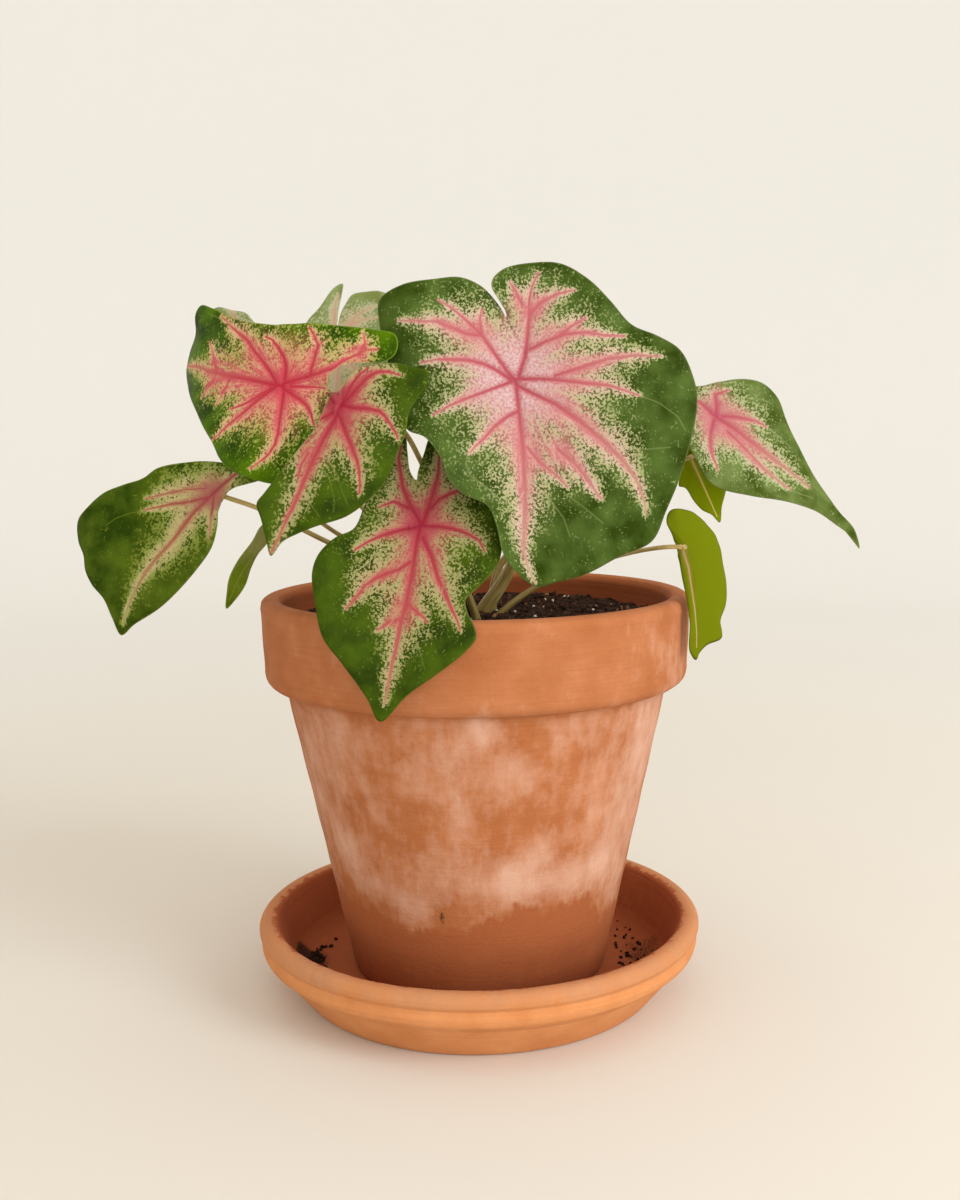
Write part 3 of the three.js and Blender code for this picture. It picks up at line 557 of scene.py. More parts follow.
# ---- Tuber ----------------------------------------------------------------------------------
#
# The flattened tuber lies under the soil at the pot's middle and carries every stalk. It is brown
# and papery, and only its finish is added here.
skin = new_material("papery tuber skin", {"Roughness": 0.85, "Specular IOR Level": 0.2})
place = add(skin, "TexCoord", out="Object")
rings = add(skin, "TexWave", {"Vector": place, "Scale": 1 / (12 * MM), "Distortion": 4.0, "Detail": 3.0},
            bands_direction="Z")
feed(skin, {
    "Base Color": add(skin, "ValToRGB", {0: rings}, stops=[(0.2, "#3c2818"), (0.8, "#7a5a3a")]),
    "Normal": add(skin, "Bump", {"Strength": 0.5, "Distance": 0.4 * MM, "Height": rings}),
})
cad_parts["tuber"].material_slots[0].material = skin

# ---- Leaves ---------------------------------------------------------------------------------
#
# Eleven caladium leaves on one tuber. A blade is a thin shield with two back lobes; its stalk joins
# the lower face a little in from the notch, and the main veins spread from there.
#
# Every blade is drawn flat and then bent. u runs from the stalk toward the tip, v across it, in
# millimetres; a margin point adds its lift out of the blade. A vein gives the half widths of its pink
# and of the cream round it, at its start and its end, and then its points. Hairs are thin side veins,
# and blush is how far the pink bleeds, as a share of the cream's half width.
#
# at is where the stalk joins the blade; tipward and facing are the ways that u and the face in front
# look, and under is 1 where that is the upper face, -1 where it is the lower. droop is how far the
# tip, the lobes and the sides fall in 50 mm, and keel how far the sides rise in 25 mm. hub is the flat
# point that a blade's rings of faces spread from, and each rib leads the rings between two points of
# the margin, by their numbers, toward a point in a lobe. A stalk leaves the tuber at foot, with the
# first radius of girth, and goes through the points of stalk to the blade, with the second.
LEAVES = [
    dict(
        name="right_front", tissue="fresh", grid=(460, 82), blush=0.75,
        at=(18, -88, 292), tipward=(0.09, -0.16, -1), facing=(0.04, -1, 0.2),
        droop=(4, 4, 5), keel=5, hub=(8, 11), ribs=[(0, 9, -33, 26), (31, 39, -22, -28)],
        margin=[(-26, -1, 0), (-28, -1, 0), (-32, -3, 2), (-38, -6, 4), (-42, -5, 3), (-47, 1, 0),
            (-48, 11, 0), (-46, 23, 0), (-38, 34, 0), (-28, 42, -1), (-18, 50, -3), (-12, 60, -2),
            (-5, 68, 0), (5, 72, 0), (16, 73, 0), (43, 65, -2), (59, 57, -3), (71, 50, -2), (76, 36, 0),
            (82, 21, 2), (84, 9, 2), (85, 1, 3), (80, -6, 4), (71, -12, 5), (59, -14, 6), (51, -17, 7),
            (45, -27, 8), (38, -32, 8), (30, -34, 6), (22, -39, 6), (17, -46, 0), (7, -48, -4),
            (-12, -51, -6), (-29, -53, -5), (-38, -52, -4), (-43, -42, -1), (-44, -28, 0),
            (-44, -18, 0), (-40, -10, 0), (-33, -4, -2)],
        veins=[
            ((3.5, 1, 14, 2.5), [(0, 0), (10, 0), (20, 0), (30, 0), (40, -0.5), (50, -1), (60, -2.5),
                (70, -3.5), (76, -2.5), (83, 0)]),
            ((3.2, 0.9, 13, 3), [(3, 1), (7, 7), (12, 15), (20, 24), (30, 34), (40, 42), (48, 46),
                (56, 48), (60, 48)]),
            ((3.2, 1.2, 12, 3), [(0, 0), (1, 10), (3, 20), (5, 28), (7, 38), (12, 49)]),
            ((2, 1.2, 8, 3), [(0.5, 16), (-2, 28), (-4, 38), (-4.5, 50), (-3, 60)]),
            ((3.2, 1.2, 10, 4), [(0, 1), (-8, 4.5), (-16, 6.5), (-24, 8), (-32, 9), (-38, 11),
                (-43, 14)]),
            ((2.5, 1, 8, 3), [(-11, 5.5), (-14, 14), (-16, 22), (-16, 30), (-14, 38), (-13, 46)]),
            ((2.2, 1, 7, 3), [(-26, 8.5), (-30, 13), (-33, 20), (-34, 28)]),
            ((1.8, 0.7, 5, 2), [(-30, 6), (-36, 4), (-40, 2)]),
            ((1.3, 0.8, 6, 3), [(-15, 18), (-19, 25), (-22, 31)]),
            ((3.2, 1, 10, 4), [(0, -1), (-5, -4), (-12, -8), (-18, -11.5), (-22, -14.5), (-26, -18),
                (-31, -23), (-35, -28)]),
            ((2, 0.6, 8, 2), [(-19, -13), (-20, -18), (-23, -24), (-26, -30), (-27, -38), (-28, -45)]),
            ((1.5, 0.7, 5, 3), [(-20, -12), (-26, -12), (-30, -11)]),
            ((3, 1, 9, 3), [(0, -2), (-4, -7), (-7, -12), (-9, -18), (-10, -25), (-10.5, -32),
                (-10, -38)]),
            ((2.3, 0.8, 9, 3), [(1, -2), (3, -9), (5, -16), (7, -23), (9, -29), (12, -35)]),
            ((2.4, 0.9, 8, 2.5), [(13, 0), (15, -5), (19, -11), (23, -15), (26, -19), (29, -22)]),
            ((1.2, 0.5, 6, 2), [(28, 2), (34, 6), (40, 12), (46, 17)]),
            ((1.4, 0.7, 7, 3), [(30, 14), (36, 20), (42, 24), (47, 27), (52, 30)]),
        ],
        hairs=[
            [(29, -22), (33, -24), (38, -23), (44, -16), (49, -11)],
            [(44, 4), (50, 9), (58, 14), (66, 16)],
            [(48, 15), (56, 24), (62, 30)],
            [(32, 40), (34, 50), (34, 60)],
            [(12, 49), (16, 57), (22, 64), (28, 67)],
            [(25, -7), (30, -13), (34, -18)],
            [(35, -3), (41, -6), (48, -9)],
            [(46, -1), (52, -6), (54, -9)],
            [(61, -2), (64, -6), (67, -8)],
        ],
        foot=(2, 0), girth=(5.5, 1.5), under=1,
        stalk=[(17, -12, 207), (23, -36, 245), (21, -64, 278), (18.5, -79, 290)],
    ),
    dict(
        name="left_upper", tissue="sunlit", grid=(400, 64), blush=1.2,
        at=(-79, -74, 291), tipward=(-1, 0.62, 0.12), facing=(-0.35, -1, 0.25),
        droop=(9, 5, 4), keel=4, hub=(9, -13), ribs=[(0, 8, -28, -15), (15, 22, 44, -5)],
        margin=[(-23, -1, 0), (-23, -5, 1), (-27, -9, 2), (-34, -12, 2), (-44, -13, 2), (-51, -16, 2),
            (-52, -21, 1), (-49, -26, 0), (-40, -27, -1), (-26, -27, -1), (-9, -27, 0), (9, -25, 1),
            (25, -26, 1), (40, -29, 1), (54, -33, 2), (66, -35, 3), (70, -31, 3), (72, -24, 0),
            (80, -17, -2), (85, -10, -4), (73, 1, -2), (53, 14, 0), (37, 25, 0), (24, 35, 0),
            (10, 40, 0), (-13, 41, -2), (-24, 34, -3), (-31, 23, -4), (-32, 11, -4), (-27, 2, -2)],
        veins=[
            ((4, 1.1, 9, 3), [(0, 0), (5, 0), (15, -1), (25, -2), (35, -3), (43, -4), (50, -5),
                (58, -7), (66, -8.5), (74, -9.5), (82, -11)]),
            ((5, 2, 8, 4), [(0, 1), (-5, 3), (-10, 5), (-14, 7), (-17, 10), (-20, 15)]),
            ((3, 0.7, 7, 2.5), [(-1, 3), (-2, 8), (-3, 15), (-4, 20), (-4, 25), (-2, 30), (1, 33),
                (5, 37)]),
            ((3, 0.7, 8, 3), [(4, 1), (8, 4), (13, 8), (18, 13), (22, 16), (27, 20), (31, 24),
                (34, 26)]),
            ((2.5, 0.8, 6, 3), [(5, 1), (12, 5), (18, 9), (24, 11), (27, 12)]),
            ((3, 0.8, 8, 3), [(4, -1), (8, -5), (14, -10), (20, -14), (26, -19), (31, -21), (37, -24),
                (42, -27), (46, -29)]),
            ((4, 1.2, 7, 3), [(0, -3), (0, -8), (2, -12), (6, -16), (10, -19), (14, -20)]),
            ((4, 1, 8, 4), [(0, -1), (-6, -3), (-12, -5), (-18, -7), (-24, -9), (-29, -13), (-34, -16),
                (-38, -18), (-43, -19)]),
            ((2.5, 0.8, 6, 3), [(-13, -6), (-14, -12), (-15, -18), (-12, -22), (-9, -25)]),
            ((1.5, 0.6, 4, 2), [(-35, -16), (-37, -21), (-35, -25)]),
            ((2, 1, 4, 3), [(-4, 0), (-10, -0.5), (-16, -1), (-21, -1)]),
            ((1.3, 0.6, 5, 3), [(44, -4), (48, -10), (51, -15), (54, -18)]),
            ((1.3, 0.6, 5, 2), [(46, -2), (50, 3), (53, 7)]),
            ((1.3, 0.6, 5, 2), [(33, -2), (36, 4), (38, 10)]),
        ],
        hairs=[
            [(22, 18), (25, 24), (27, 30)],
            [(8, 22), (13, 28), (15, 33)],
            [(44, 4), (50, 12), (54, 16)],
            [(30, -22), (40, -26), (50, -29), (57, -31)],
        ],
        foot=(-13, 2), girth=(3, 1.3), under=1,
        stalk=[(-30, -24, 222), (-48, -42, 252), (-66, -58, 275), (-75, -66, 288)],
    ),
    dict(
        name="left_front", tissue="rose", grid=(310, 52), blush=1,
        at=(-52, -104, 282), tipward=(-0.45, -0.12, -1), facing=(0.15, -1, 0.35),
        droop=(2, 8, 14), keel=3, hub=(7, 4), ribs=[],
        margin=[(-5, -3, 0), (-11, -2, 0), (-16, 0, 0), (-20, 5, 0), (-25, 15, 0), (-26, 22, 1),
            (-27, 26, 2), (-22, 28, 0), (-16, 27, -1), (-9, 26, 0), (0, 28, 0), (9, 28, 0), (20, 28, 0),
            (32, 24, 0), (40, 19, 0), (48, 10, 1), (54, 4, 1), (59, 0, 1), (66, -2, 2), (61, -6, 2),
            (54, -11, 3), (49, -15, 3), (44, -14, 2), (36, -12, 1), (24, -9, 0), (13, -6, 0),
            (2, -6, -4), (-4, -6, -8)],
        veins=[
            ((3.4, 0.7, 6, 2), [(0, 0), (6, 0), (15, -1), (25, -1.5), (35, -1.5), (45, -1.5), (50, -2),
                (57, -2), (65, -2.5)]),
            ((3, 0.7, 6, 2.5), [(4, 1), (8, 5), (11, 8), (15, 12), (18, 15), (21, 17), (25, 19),
                (29, 20.5)]),
            ((3, 0.7, 5, 2.5), [(0, 0), (-1, 5), (-3, 10), (-4, 15), (-3, 18), (-1, 21), (1, 24),
                (3, 26)]),
            ((4, 1.3, 6, 3), [(-2, 1), (-8, 3), (-14, 5), (-18, 8), (-20, 12), (-20.5, 17)]),
            ((3, 1.5, 5, 3), [(-1, 0.5), (-8, 0.5), (-14, 2), (-18, 4)]),
            ((4, 3, 6, 4), [(0, -3), (-2, -6)]),
            ((4, 2, 6, 3), [(4, -2), (9, -6)]),
            ((0.3, 0.3, 4, 3), [(22, -4), (28, -5), (34, -4)]),
        ],
        hairs=[
            [(24, 0), (26, 3), (28, 7), (32, 10), (36, 13), (40, 14)],
            [(22, 4), (26, 10), (30, 13), (35, 18)],
            [(38, 0), (41, 5), (44, 10)],
            [(36, -4), (38, -9)],
        ],
        foot=(-8, -6), girth=(2.9, 1.1), under=1,
        stalk=[(-9, -20, 211), (-17, -46, 243), (-23, -63, 260), (-29, -73, 271.5), (-40, -88, 279)],
    ),
    dict(
        name="centre_front", tissue="rose", grid=(390, 62), blush=0.7,
        at=(-22, -91, 233), tipward=(-0.2, -0.42, -1), facing=(0.05, -1, 0.2),
        droop=(5, 2, 4), keel=3, hub=(14, -1), ribs=[(0, 6, -19, 5), (28, 35, -22, -12)],
        margin=[(-19, -5, 0), (-23, -5, 0), (-32, -4, 0), (-39, -3, 0), (-43, 1, 0), (-41, 9, -1),
            (-31, 19, -2), (-17, 26, -2), (-4, 32, -1), (5, 35, 0), (14, 33, 0), (22, 28, 0),
            (28, 24, 1), (33, 26, 0), (37, 29, 0), (42, 31, 0), (48, 28, 0), (58, 19, 0), (69, 8, 0),
            (81, -1, 0), (73, -8, 0), (62, -20, 0), (53, -30, 0), (39, -36, 0), (29, -39, 1),
            (21, -38, 2), (13, -33, 2), (7, -26, 1), (-3, -24, 0), (-14, -22, 0), (-25, -19, -1),
            (-34, -16, -1), (-37, -13, 0), (-31, -11, 0), (-22, -8, 0)],
        veins=[
            ((4, 0.7, 8, 2.5), [(0, 0), (10, 0), (20, 0.5), (30, 0.5), (40, 0), (50, 0), (58, -0.5),
                (66, -0.5), (74, -0.5)]),
            ((3, 0.7, 9, 3), [(0, 1), (-1, 8), (-1, 14), (0, 20), (2, 25), (6, 28)]),
            ((3, 0.7, 8, 3), [(5, 2), (12, 7), (20, 11), (26, 15), (32, 19), (37, 22.5), (40, 24)]),
            ((3, 0.7, 7, 3), [(1, -1), (3, -6), (5, -10), (8, -15), (11, -19), (14, -22), (16, -24)]),
            ((2, 0.6, 8, 3), [(16, -1), (20, -5), (23, -10), (26, -14), (29, -17), (33, -19), (37, -21),
                (40, -23)]),
            ((4, 1.6, 7, 4), [(-1, 0), (-6, -4), (-10, -7), (-15, -10), (-21, -12), (-27, -14),
                (-33, -14)]),
            ((2.5, 0.8, 6, 3), [(-6, -4), (-7, -9), (-8, -12), (-6, -15), (-4, -18)]),
            ((4, 1.6, 8, 4), [(-1, 1), (-8, 2), (-15, 3), (-22, 3.5), (-28, 3), (-34, 2)]),
            ((2.5, 1, 7, 4), [(-8, 3), (-13, 6), (-16, 10), (-18, 13), (-20, 18)]),
            ((1.4, 0.6, 6, 3), [(33, 1), (35, 4), (37, 8), (39, 10)]),
            ((1.4, 0.6, 6, 3), [(40, -1), (42, -5), (46, -9)]),
        ],
        hairs=[
            [(43, 1), (46, 5), (48, 8), (52, 10), (58, 13)],
            [(35, -1), (42, -4), (48, -9)],
            [(52, -1), (56, -5)],
            [(24, 14), (30, 14), (34, 12)],
        ],
        foot=(1, -13), girth=(3, 1.3), under=1,
        stalk=[(-6, -28, 203), (-14, -56, 220), (-20, -78, 230)],
    ),
    dict(
        name="far_left", tissue="shaded", grid=(320, 50), blush=0.3,
        at=(-117, -40, 245), tipward=(-0.6, 0.05, -0.9), facing=(-0.15, -1, 0.25),
        droop=(5, 5, 6), keel=4, hub=(3, -8), ribs=[(0, 6, -15, 9), (16, 26, 54, -5)],
        margin=[(-7, 7, 0), (-12, 11, -1), (-17, 15, -2), (-21, 15, -3), (-21, 9, -3), (-16, 0, -1),
            (-10, -11, 0), (-3, -20, 0), (5, -28, 1), (13, -32, 0), (21, -39, 0), (30, -46, 0),
            (40, -50, 0), (49, -52, -1), (57, -47, -1), (61, -41, 0), (67, -37, 0), (71, -31, 0),
            (73, -22, 1), (79, -15, 0), (84, -8, 0), (75, -4, 0), (60, 4, 0), (46, 9, 0), (33, 12, 0),
            (20, 13, 0), (11, 10, -1), (5, 6, -2), (0, 5, -2)],
        veins=[
            ((3, 2, 6, 4), [(0, 0), (-6, 2), (-12, 4), (-18, 6)]),
            ((2.2, 0.6, 8, 2), [(0, 0), (5, -1), (12, -3), (20, -4), (27, -5), (33, -6), (40, -8),
                (48, -9.5), (55, -10), (62, -10.5), (70, -10), (78, -9)]),
            ((2.3, 0.4, 9, 2.5), [(3, -1), (7, -5), (11, -9), (15, -14), (18, -17), (21, -20),
                (25, -24)]),
            ((1.2, 0.5, 5, 2), [(1, 1), (5, 3), (9, 5), (14, 8), (18, 9.5)]),
            ((0.3, 0.3, 7, 5), [(0, -4), (6, -12), (14, -20), (20, -26)]),
        ],
        hairs=[
            [(23, -1), (27, 1), (31, 2.5), (36, 4)],
            [(30, -7), (33, -12), (37, -17), (41, -21)],
            [(25, -24), (30, -29), (36, -34), (42, -37)],
            [(9, 5), (14, 8), (18, 9.5)],
        ],
        foot=(-17, -6), girth=(2.8, 1.1), under=1,
        stalk=[(-38, -17, 207), (-66, -30, 221), (-96, -35, 237), (-112, -36, 243)],
    ),
    dict(
        name="young_left", tissue="young", grid=(140, 24), blush=0.5,
        at=(-91, -45, 231), tipward=(-0.45, 0.05, -0.85), facing=(0.3, -1, 0.1),
        droop=(2, 2, 10), keel=8, hub=(23, -2), ribs=[],
        margin=[(-3, 1, 0), (2, -3, -1), (11, -4, -1), (21, -6, 0), (30, -6, 0), (37, -4, 0),
            (44, -1, 0), (38, 1, 0), (30, 2, 0), (22, 1, 0), (15, 1, 0), (7, 3, 0), (0, 4, 0)],
        veins=[],
        hairs=[
            [(-2, 0), (8, -0.5), (18, -1), (25, -2), (32, -2), (40, -1.5)],
        ],
        foot=(-11, -14), girth=(2.4, 1), under=1,
        stalk=[(-34, -26, 207), (-62, -37, 226), (-78, -41, 237), (-87, -40, 238), (-91, -40, 234)],
    ),
    dict(
        name="far_right", tissue="airy", grid=(300, 50), blush=0.9,
        at=(109, -38, 276), tipward=(0.8, 0.05, -0.6), facing=(0.1, -1, 0.3),
        droop=(5, 4, 7), keel=4, hub=(23, 4), ribs=[],
        margin=[(-11, -4, 0), (-16, -1, 0), (-17, 4, 0), (-13, 8, 0), (-7, 15, 0), (2, 23, 0),
            (10, 26, 0), (18, 26, -1), (27, 21, -1), (39, 15, -1), (53, 9, 0), (67, 6, 0), (77, 4, 1),
            (87, 3, 2), (96, -1, 0), (86, -1, 2), (76, -2, 1), (67, -3, 0), (61, -5, 0), (48, -11, 0),
            (34, -19, 0), (22, -25, 0), (13, -27, 0), (6, -24, 0), (-2, -20, 0), (-9, -17, 0),
            (-13, -12, 0)],
        veins=[
            ((3.4, 0.8, 7, 2.5), [(0, 0), (10, 1), (20, 1), (30, 1.5), (40, 2), (48, 2.5), (56, 3)]),
            ((3, 0.9, 6, 3), [(0, -2), (2, -8), (5, -13), (8, -16), (11, -18), (14, -20)]),
            ((1.5, 0.7, 6, 2), [(8, -2), (16, -3), (24, -4), (30, -5), (36, -5), (42, -5), (48, -4)]),
            ((4, 1.3, 7, 4), [(0, 0), (-3, 5), (-6, 8), (-4, 11), (-2, 14)]),
            ((3.5, 2.5, 6, 4), [(0, 0), (-8, 1), (-14, 1)]),
            ((2.5, 0.8, 7, 3), [(2, 2), (8, 6), (12, 8), (16, 10), (22, 11)]),
        ],
        hairs=[
            [(22, 11), (30, 11), (36, 11)],
            [(40, -8), (50, -4), (60, 0)],
            [(4, 14), (12, 19), (18, 21)],
        ],
        foot=(8, 9), girth=(2.9, 1.3), under=1,
        stalk=[(13, 7, 207), (38, -6, 225), (66, -18, 244), (93, -27, 264), (106, -31, 274)],
    ),
    dict(
        name="small_right", tissue="lime with painted backlight", grid=(160, 28), blush=0.5,
        at=(101, -18, 258), tipward=(0.42, 0.05, -0.9), facing=(0.2, -1, 0.1),
        droop=(1, 2, 5), keel=-6, hub=(12, 2), ribs=[],
        margin=[(-4, -1, 0), (-4, 4, 0), (2, 12, 0), (12, 14, 0), (22, 10, 0), (28, 4, 0), (34, 0, 0),
            (29, -2, 0), (25, -5, 0), (19, -7, 0), (12, -8, 0), (10, -10, -1), (5, -7, -1), (0, -5, 0)],
        veins=[
            ((1.4, 0.5, 5, 2), [(0, 0), (8, 0), (16, 0), (24, 0), (31, 0)]),
        ],
        hairs=[
            [(2, 1), (8, 5), (13, 9)],
            [(2, -1), (8, -4), (12, -6)],
            [(10, 0), (17, 3), (21, 7)],
        ],
        foot=(3, 18), girth=(2.6, 1.1), under=-1,
        stalk=[(18, 14, 206), (48, 0, 231), (82, -17, 251), (97, -24, 257)],
    ),
    dict(
        name="low_right", tissue="lime", grid=(180, 30), blush=0.5,
        at=(93, -48, 219), tipward=(0.12, 0.02, -1), facing=(0.25, -1, 0.2),
        droop=(3, 6, 8), keel=-3, hub=(8, 8), ribs=[],
        margin=[(-12, -6, 0), (-17, -3, 0), (-15, 6, 0), (-10, 12, 0), (-1, 18, 0), (8, 20, 0),
            (20, 21, 0), (30, 20, 0), (37, 16, 0), (45, 16, 0), (47, 8, 0), (50, 4, 0), (53, 2, 0),
            (48, -1, 0), (35, 0, 0), (25, 0, -1), (14, -1, -2), (2, -2, -2), (-6, -4, -1)],
        veins=[
            ((1.6, 0.5, 5, 2), [(0, 0), (10, 2), (20, 2.5), (30, 3), (40, 3), (47, 2.5)]),
        ],
        hairs=[
            [(2, 1), (5, 5), (8, 10), (12, 12), (16, 13.5)],
            [(3, 3), (10, 4.5), (17, 6), (24, 7)],
            [(-2, 2), (-4, 5), (-3, 9)],
            [(-2, 0), (-7, 0.5), (-10, 1)],
            [(20, 3), (28, 9), (34, 12)],
        ],
        foot=(9, -6), girth=(2.3, 1), under=-1,
        stalk=[(30, -12, 198), (51, -22, 208), (71, -33, 215), (86, -49, 219)],
    ),
    dict(
        name="back_left", tissue="faded", grid=(190, 32), blush=0.5,
        at=(-65, 22, 311), tipward=(-0.1, -0.1, -1), facing=(0.05, -1, 0.25),
        droop=(4, 4, 5), keel=3, hub=(14, -5), ribs=[(0, 9, -9, 7), (17, 23, -27, -8)],
        margin=[(-11, -2, 0), (-18, -1, 0), (-23, 1, 0), (-28, 4, 0), (-30, 10, 0), (-31, 17, 0),
            (-28, 24, 0), (-20, 29, 0), (-5, 31, 0), (11, 28, 0), (28, 19, 0), (43, 8, 0), (59, 0, 0),
            (44, -6, 0), (31, -15, 0), (14, -20, 0), (0, -20, 0), (-12, -17, 0), (-21, -11, 0),
            (-31, -5, 0), (-33, -1, 1), (-28, -1, 1), (-20, -2, 0)],
        veins=[
            ((2, 0.6, 6, 2), [(0, 0), (20, 0), (40, 0), (56, 0)]),
            ((1.6, 0.9, 6, 3), [(0, 0), (-12, 4), (-17, 6), (-20, 10), (-24, 16)]),
            ((1.5, 0.8, 5, 3), [(-8, 1), (-12, 2), (-16, 10), (-18, 17)]),
            ((2.5, 1.5, 6, 3), [(0, 0), (-14, -4), (-22, -4), (-28, -3)]),
            ((1.5, 0.7, 6, 3), [(2, 2), (10, 10), (16, 18), (18, 22)]),
            ((1.5, 0.7, 6, 3), [(2, -2), (10, -9), (18, -14)]),
        ],
        hairs=[
            [(20, 0), (28, 6), (34, 10)],
            [(20, 0), (28, -6), (33, -9)],
        ],
        foot=(-6, 12), girth=(2.8, 1.2), under=1,
        stalk=[(-18, 19, 212), (-38, 27, 250), (-58, 33, 290), (-64, 29, 307)],
    ),
    dict(
        name="back_far_left", tissue="faded", grid=(170, 28), blush=0.5,
        at=(-109, 30, 310), tipward=(-0.55, 0.25, -0.8), facing=(-0.2, -1, 0.2),
        droop=(6, 5, 5), keel=3, hub=(2, -3), ribs=[],
        margin=[(-11, 2, 0), (-17, 0, 0), (-14, -6, 0), (-15, -14, 0), (-12, -21, 0), (-8, -29, 0),
            (0, -31, 0), (10, -27, 0), (22, -22, 0), (32, -15, 0), (43, -6, 0), (32, 4, 0), (19, 13, 0),
            (7, 19, 0), (-6, 21, 0), (-15, 19, 0), (-17, 12, 0), (-15, 7, 0)],
        veins=[
            ((2, 0.6, 6, 2), [(0, 0), (12, 0), (26, -2), (40, -5)]),
            ((1.6, 0.9, 6, 3), [(0, 0), (-6, 8), (-10, 16)]),
            ((1.6, 0.9, 6, 3), [(0, 0), (-6, -8), (-10, -18), (-12, -26)]),
            ((1.5, 0.7, 6, 3), [(0, 0), (8, 8), (14, 13)]),
            ((1.5, 0.7, 6, 3), [(0, 0), (8, -10), (12, -20)]),
        ],
        hairs=[
            [(20, -1), (26, 4), (30, 5)],
            [(20, -1), (26, -10), (28, -16)],
        ],
        foot=(-15, 11), girth=(2.8, 1.2), under=1,
        stalk=[(-36, 24, 210), (-66, 33, 246), (-96, 38, 290), (-106, 37, 306)],
    ),
]


def axes_of(leaf):
    """The blade's directions: u to the tip, w out of the upper face and square to u, v = w x u."""
    u = unit(leaf["tipward"])
    w = unit(leaf["facing"] - (np.array(leaf["facing"]) @ u) * u)
    return u, np.cross(w, u), w


def spline(points, closed, places):
    """A centripetal Catmull-Rom curve at these places, counted in points. Between points b and c it
    is the cubic with velocities out and into, from the square roots of the three distances round
    them; past an open end the next point is taken as the mirror image of the one before."""
    points = np.array(points, float)
    if closed:
        row = np.concatenate([points[-1:], points, points[:2]])
    else:
        row = np.concatenate([2 * points[:1] - points[1:2], points, 2 * points[-1:] - points[-2:-1]])
    first = np.minimum(places.astype(int), len(row) - 4)
    t = (places - first)[:, None]
    a, b, c, d = (row[first + step] for step in range(4))
    near, mid, far = (np.sqrt(np.linalg.norm(q - p, axis=1, keepdims=True))
                      for p, q in ((a, b), (b, c), (c, d)))
    out = ((b - a) / near - (c - a) / (near + mid) + (c - b) / mid) * mid
    into = ((c - b) / mid - (d - b) / (mid + far) + (d - c) / far) * mid
    return b + t * (out + t * (3 * (c - b) - 2 * out - into + t * (2 * (b - c) + out + into)))


def even_places(points, closed, count):
    """Places along a spline that part it in equal lengths."""
    fine = np.linspace(0, len(points) - (0 if closed else 1), 4001)
    steps = np.linalg.norm(np.diff(spline(points, closed, fine), axis=0), axis=1)
    length = np.concatenate([[0], np.cumsum(steps)])
    share = np.arange(count) / (count if closed else count - 1)
    return np.interp(share * length[-1], length, fine)


def way_from(line, spots):
    """For every spot, the way to it from the nearest point of a line, and that point's share of the
    line's length. The nearest point of a piece p to q is p + s(q - p), 0 <= s <= 1."""
    p, q = np.array(line, float)[:-1], np.array(line, float)[1:]
    run = q - p
    length = np.linalg.norm(run, axis=1)
    s = np.clip(((spots[:, None] - p) * run).sum(-1) / length ** 2, 0, 1)
    ways = spots[:, None] - p - s[..., None] * run
    best = np.linalg.norm(ways, axis=-1).argmin(axis=1)
    here = np.arange(len(spots))
    start = np.concatenate([[0], np.cumsum(length)])[best]
    return ways[here, best], (start + s[here, best] * length[best]) / length.sum()


def flat_rings(leaf):
    """Rings of flat points from the hub out to the margin, their lift and their share t. A ring is
    hub + reach(1 - (1 - t)^4) + (rim - hub - reach)t, where reach leads the rings along the lobes:
    it swells to goal - hub and back as a sine to the power 1.35 between two margin points. The lift
    grows as t^3, and its quick changes along the margin only as t^12."""
    columns, rings = leaf["grid"]
    places = even_places([point[:2] for point in leaf["margin"]], True, columns)
    rim = spline(leaf["margin"], True, places)
    hub = np.array(leaf["hub"], float)
    reach = np.zeros((columns, 2))
    for first, last, *goal in leaf["ribs"]:
        part = (places - first) / (last - first)
        reach += np.sin(np.pi * np.clip(part, 0, 1))[:, None] ** 1.35 * (goal - hub)
    t = (np.arange(1, rings + 1) / rings)[:, None, None]
    flat = hub + reach * (1 - (1 - t) ** 4) + (rim[:, :2] - hub - reach) * t
    soft = sum(np.roll(rim[:, 2], step) for step in range(-10, 11)) / 21
    t = t[..., 0]
    return flat, soft * t ** 3 + (rim[:, 2] - soft) * t ** 12, t + 0 * places, rim[:, :2]


def bent(leaf, u, v, lift):
    """Places and outward directions of flat points: the blade droops as the square of u and v, and
    its midrib lies in a smooth valley."""
    axis_u, axis_v, axis_w = axes_of(leaf)
    tip, lobes, sides = leaf["droop"]
    fall = np.where(u > 0, tip, lobes)
    hollow = np.sqrt(v * v + 25)
    rise = leaf["keel"] * (hollow - 5) / 25 - fall * (u / 50) ** 2 - sides * (v / 50) ** 2 + lift
    slope_u = -2 * fall * u / 2500
    slope_v = leaf["keel"] * v / (25 * hollow) - 2 * sides * v / 2500
    outward = axis_w - slope_u[:, None] * axis_u - slope_v[:, None] * axis_v
    outward /= np.linalg.norm(outward, axis=1, keepdims=True)
    place = np.array(leaf["at"]) + u[:, None] * axis_u + v[:, None] * axis_v + rise[:, None] * axis_w
    return place, outward


FAR_OFF = 100  # half widths, the most that a spot can lie from a vein


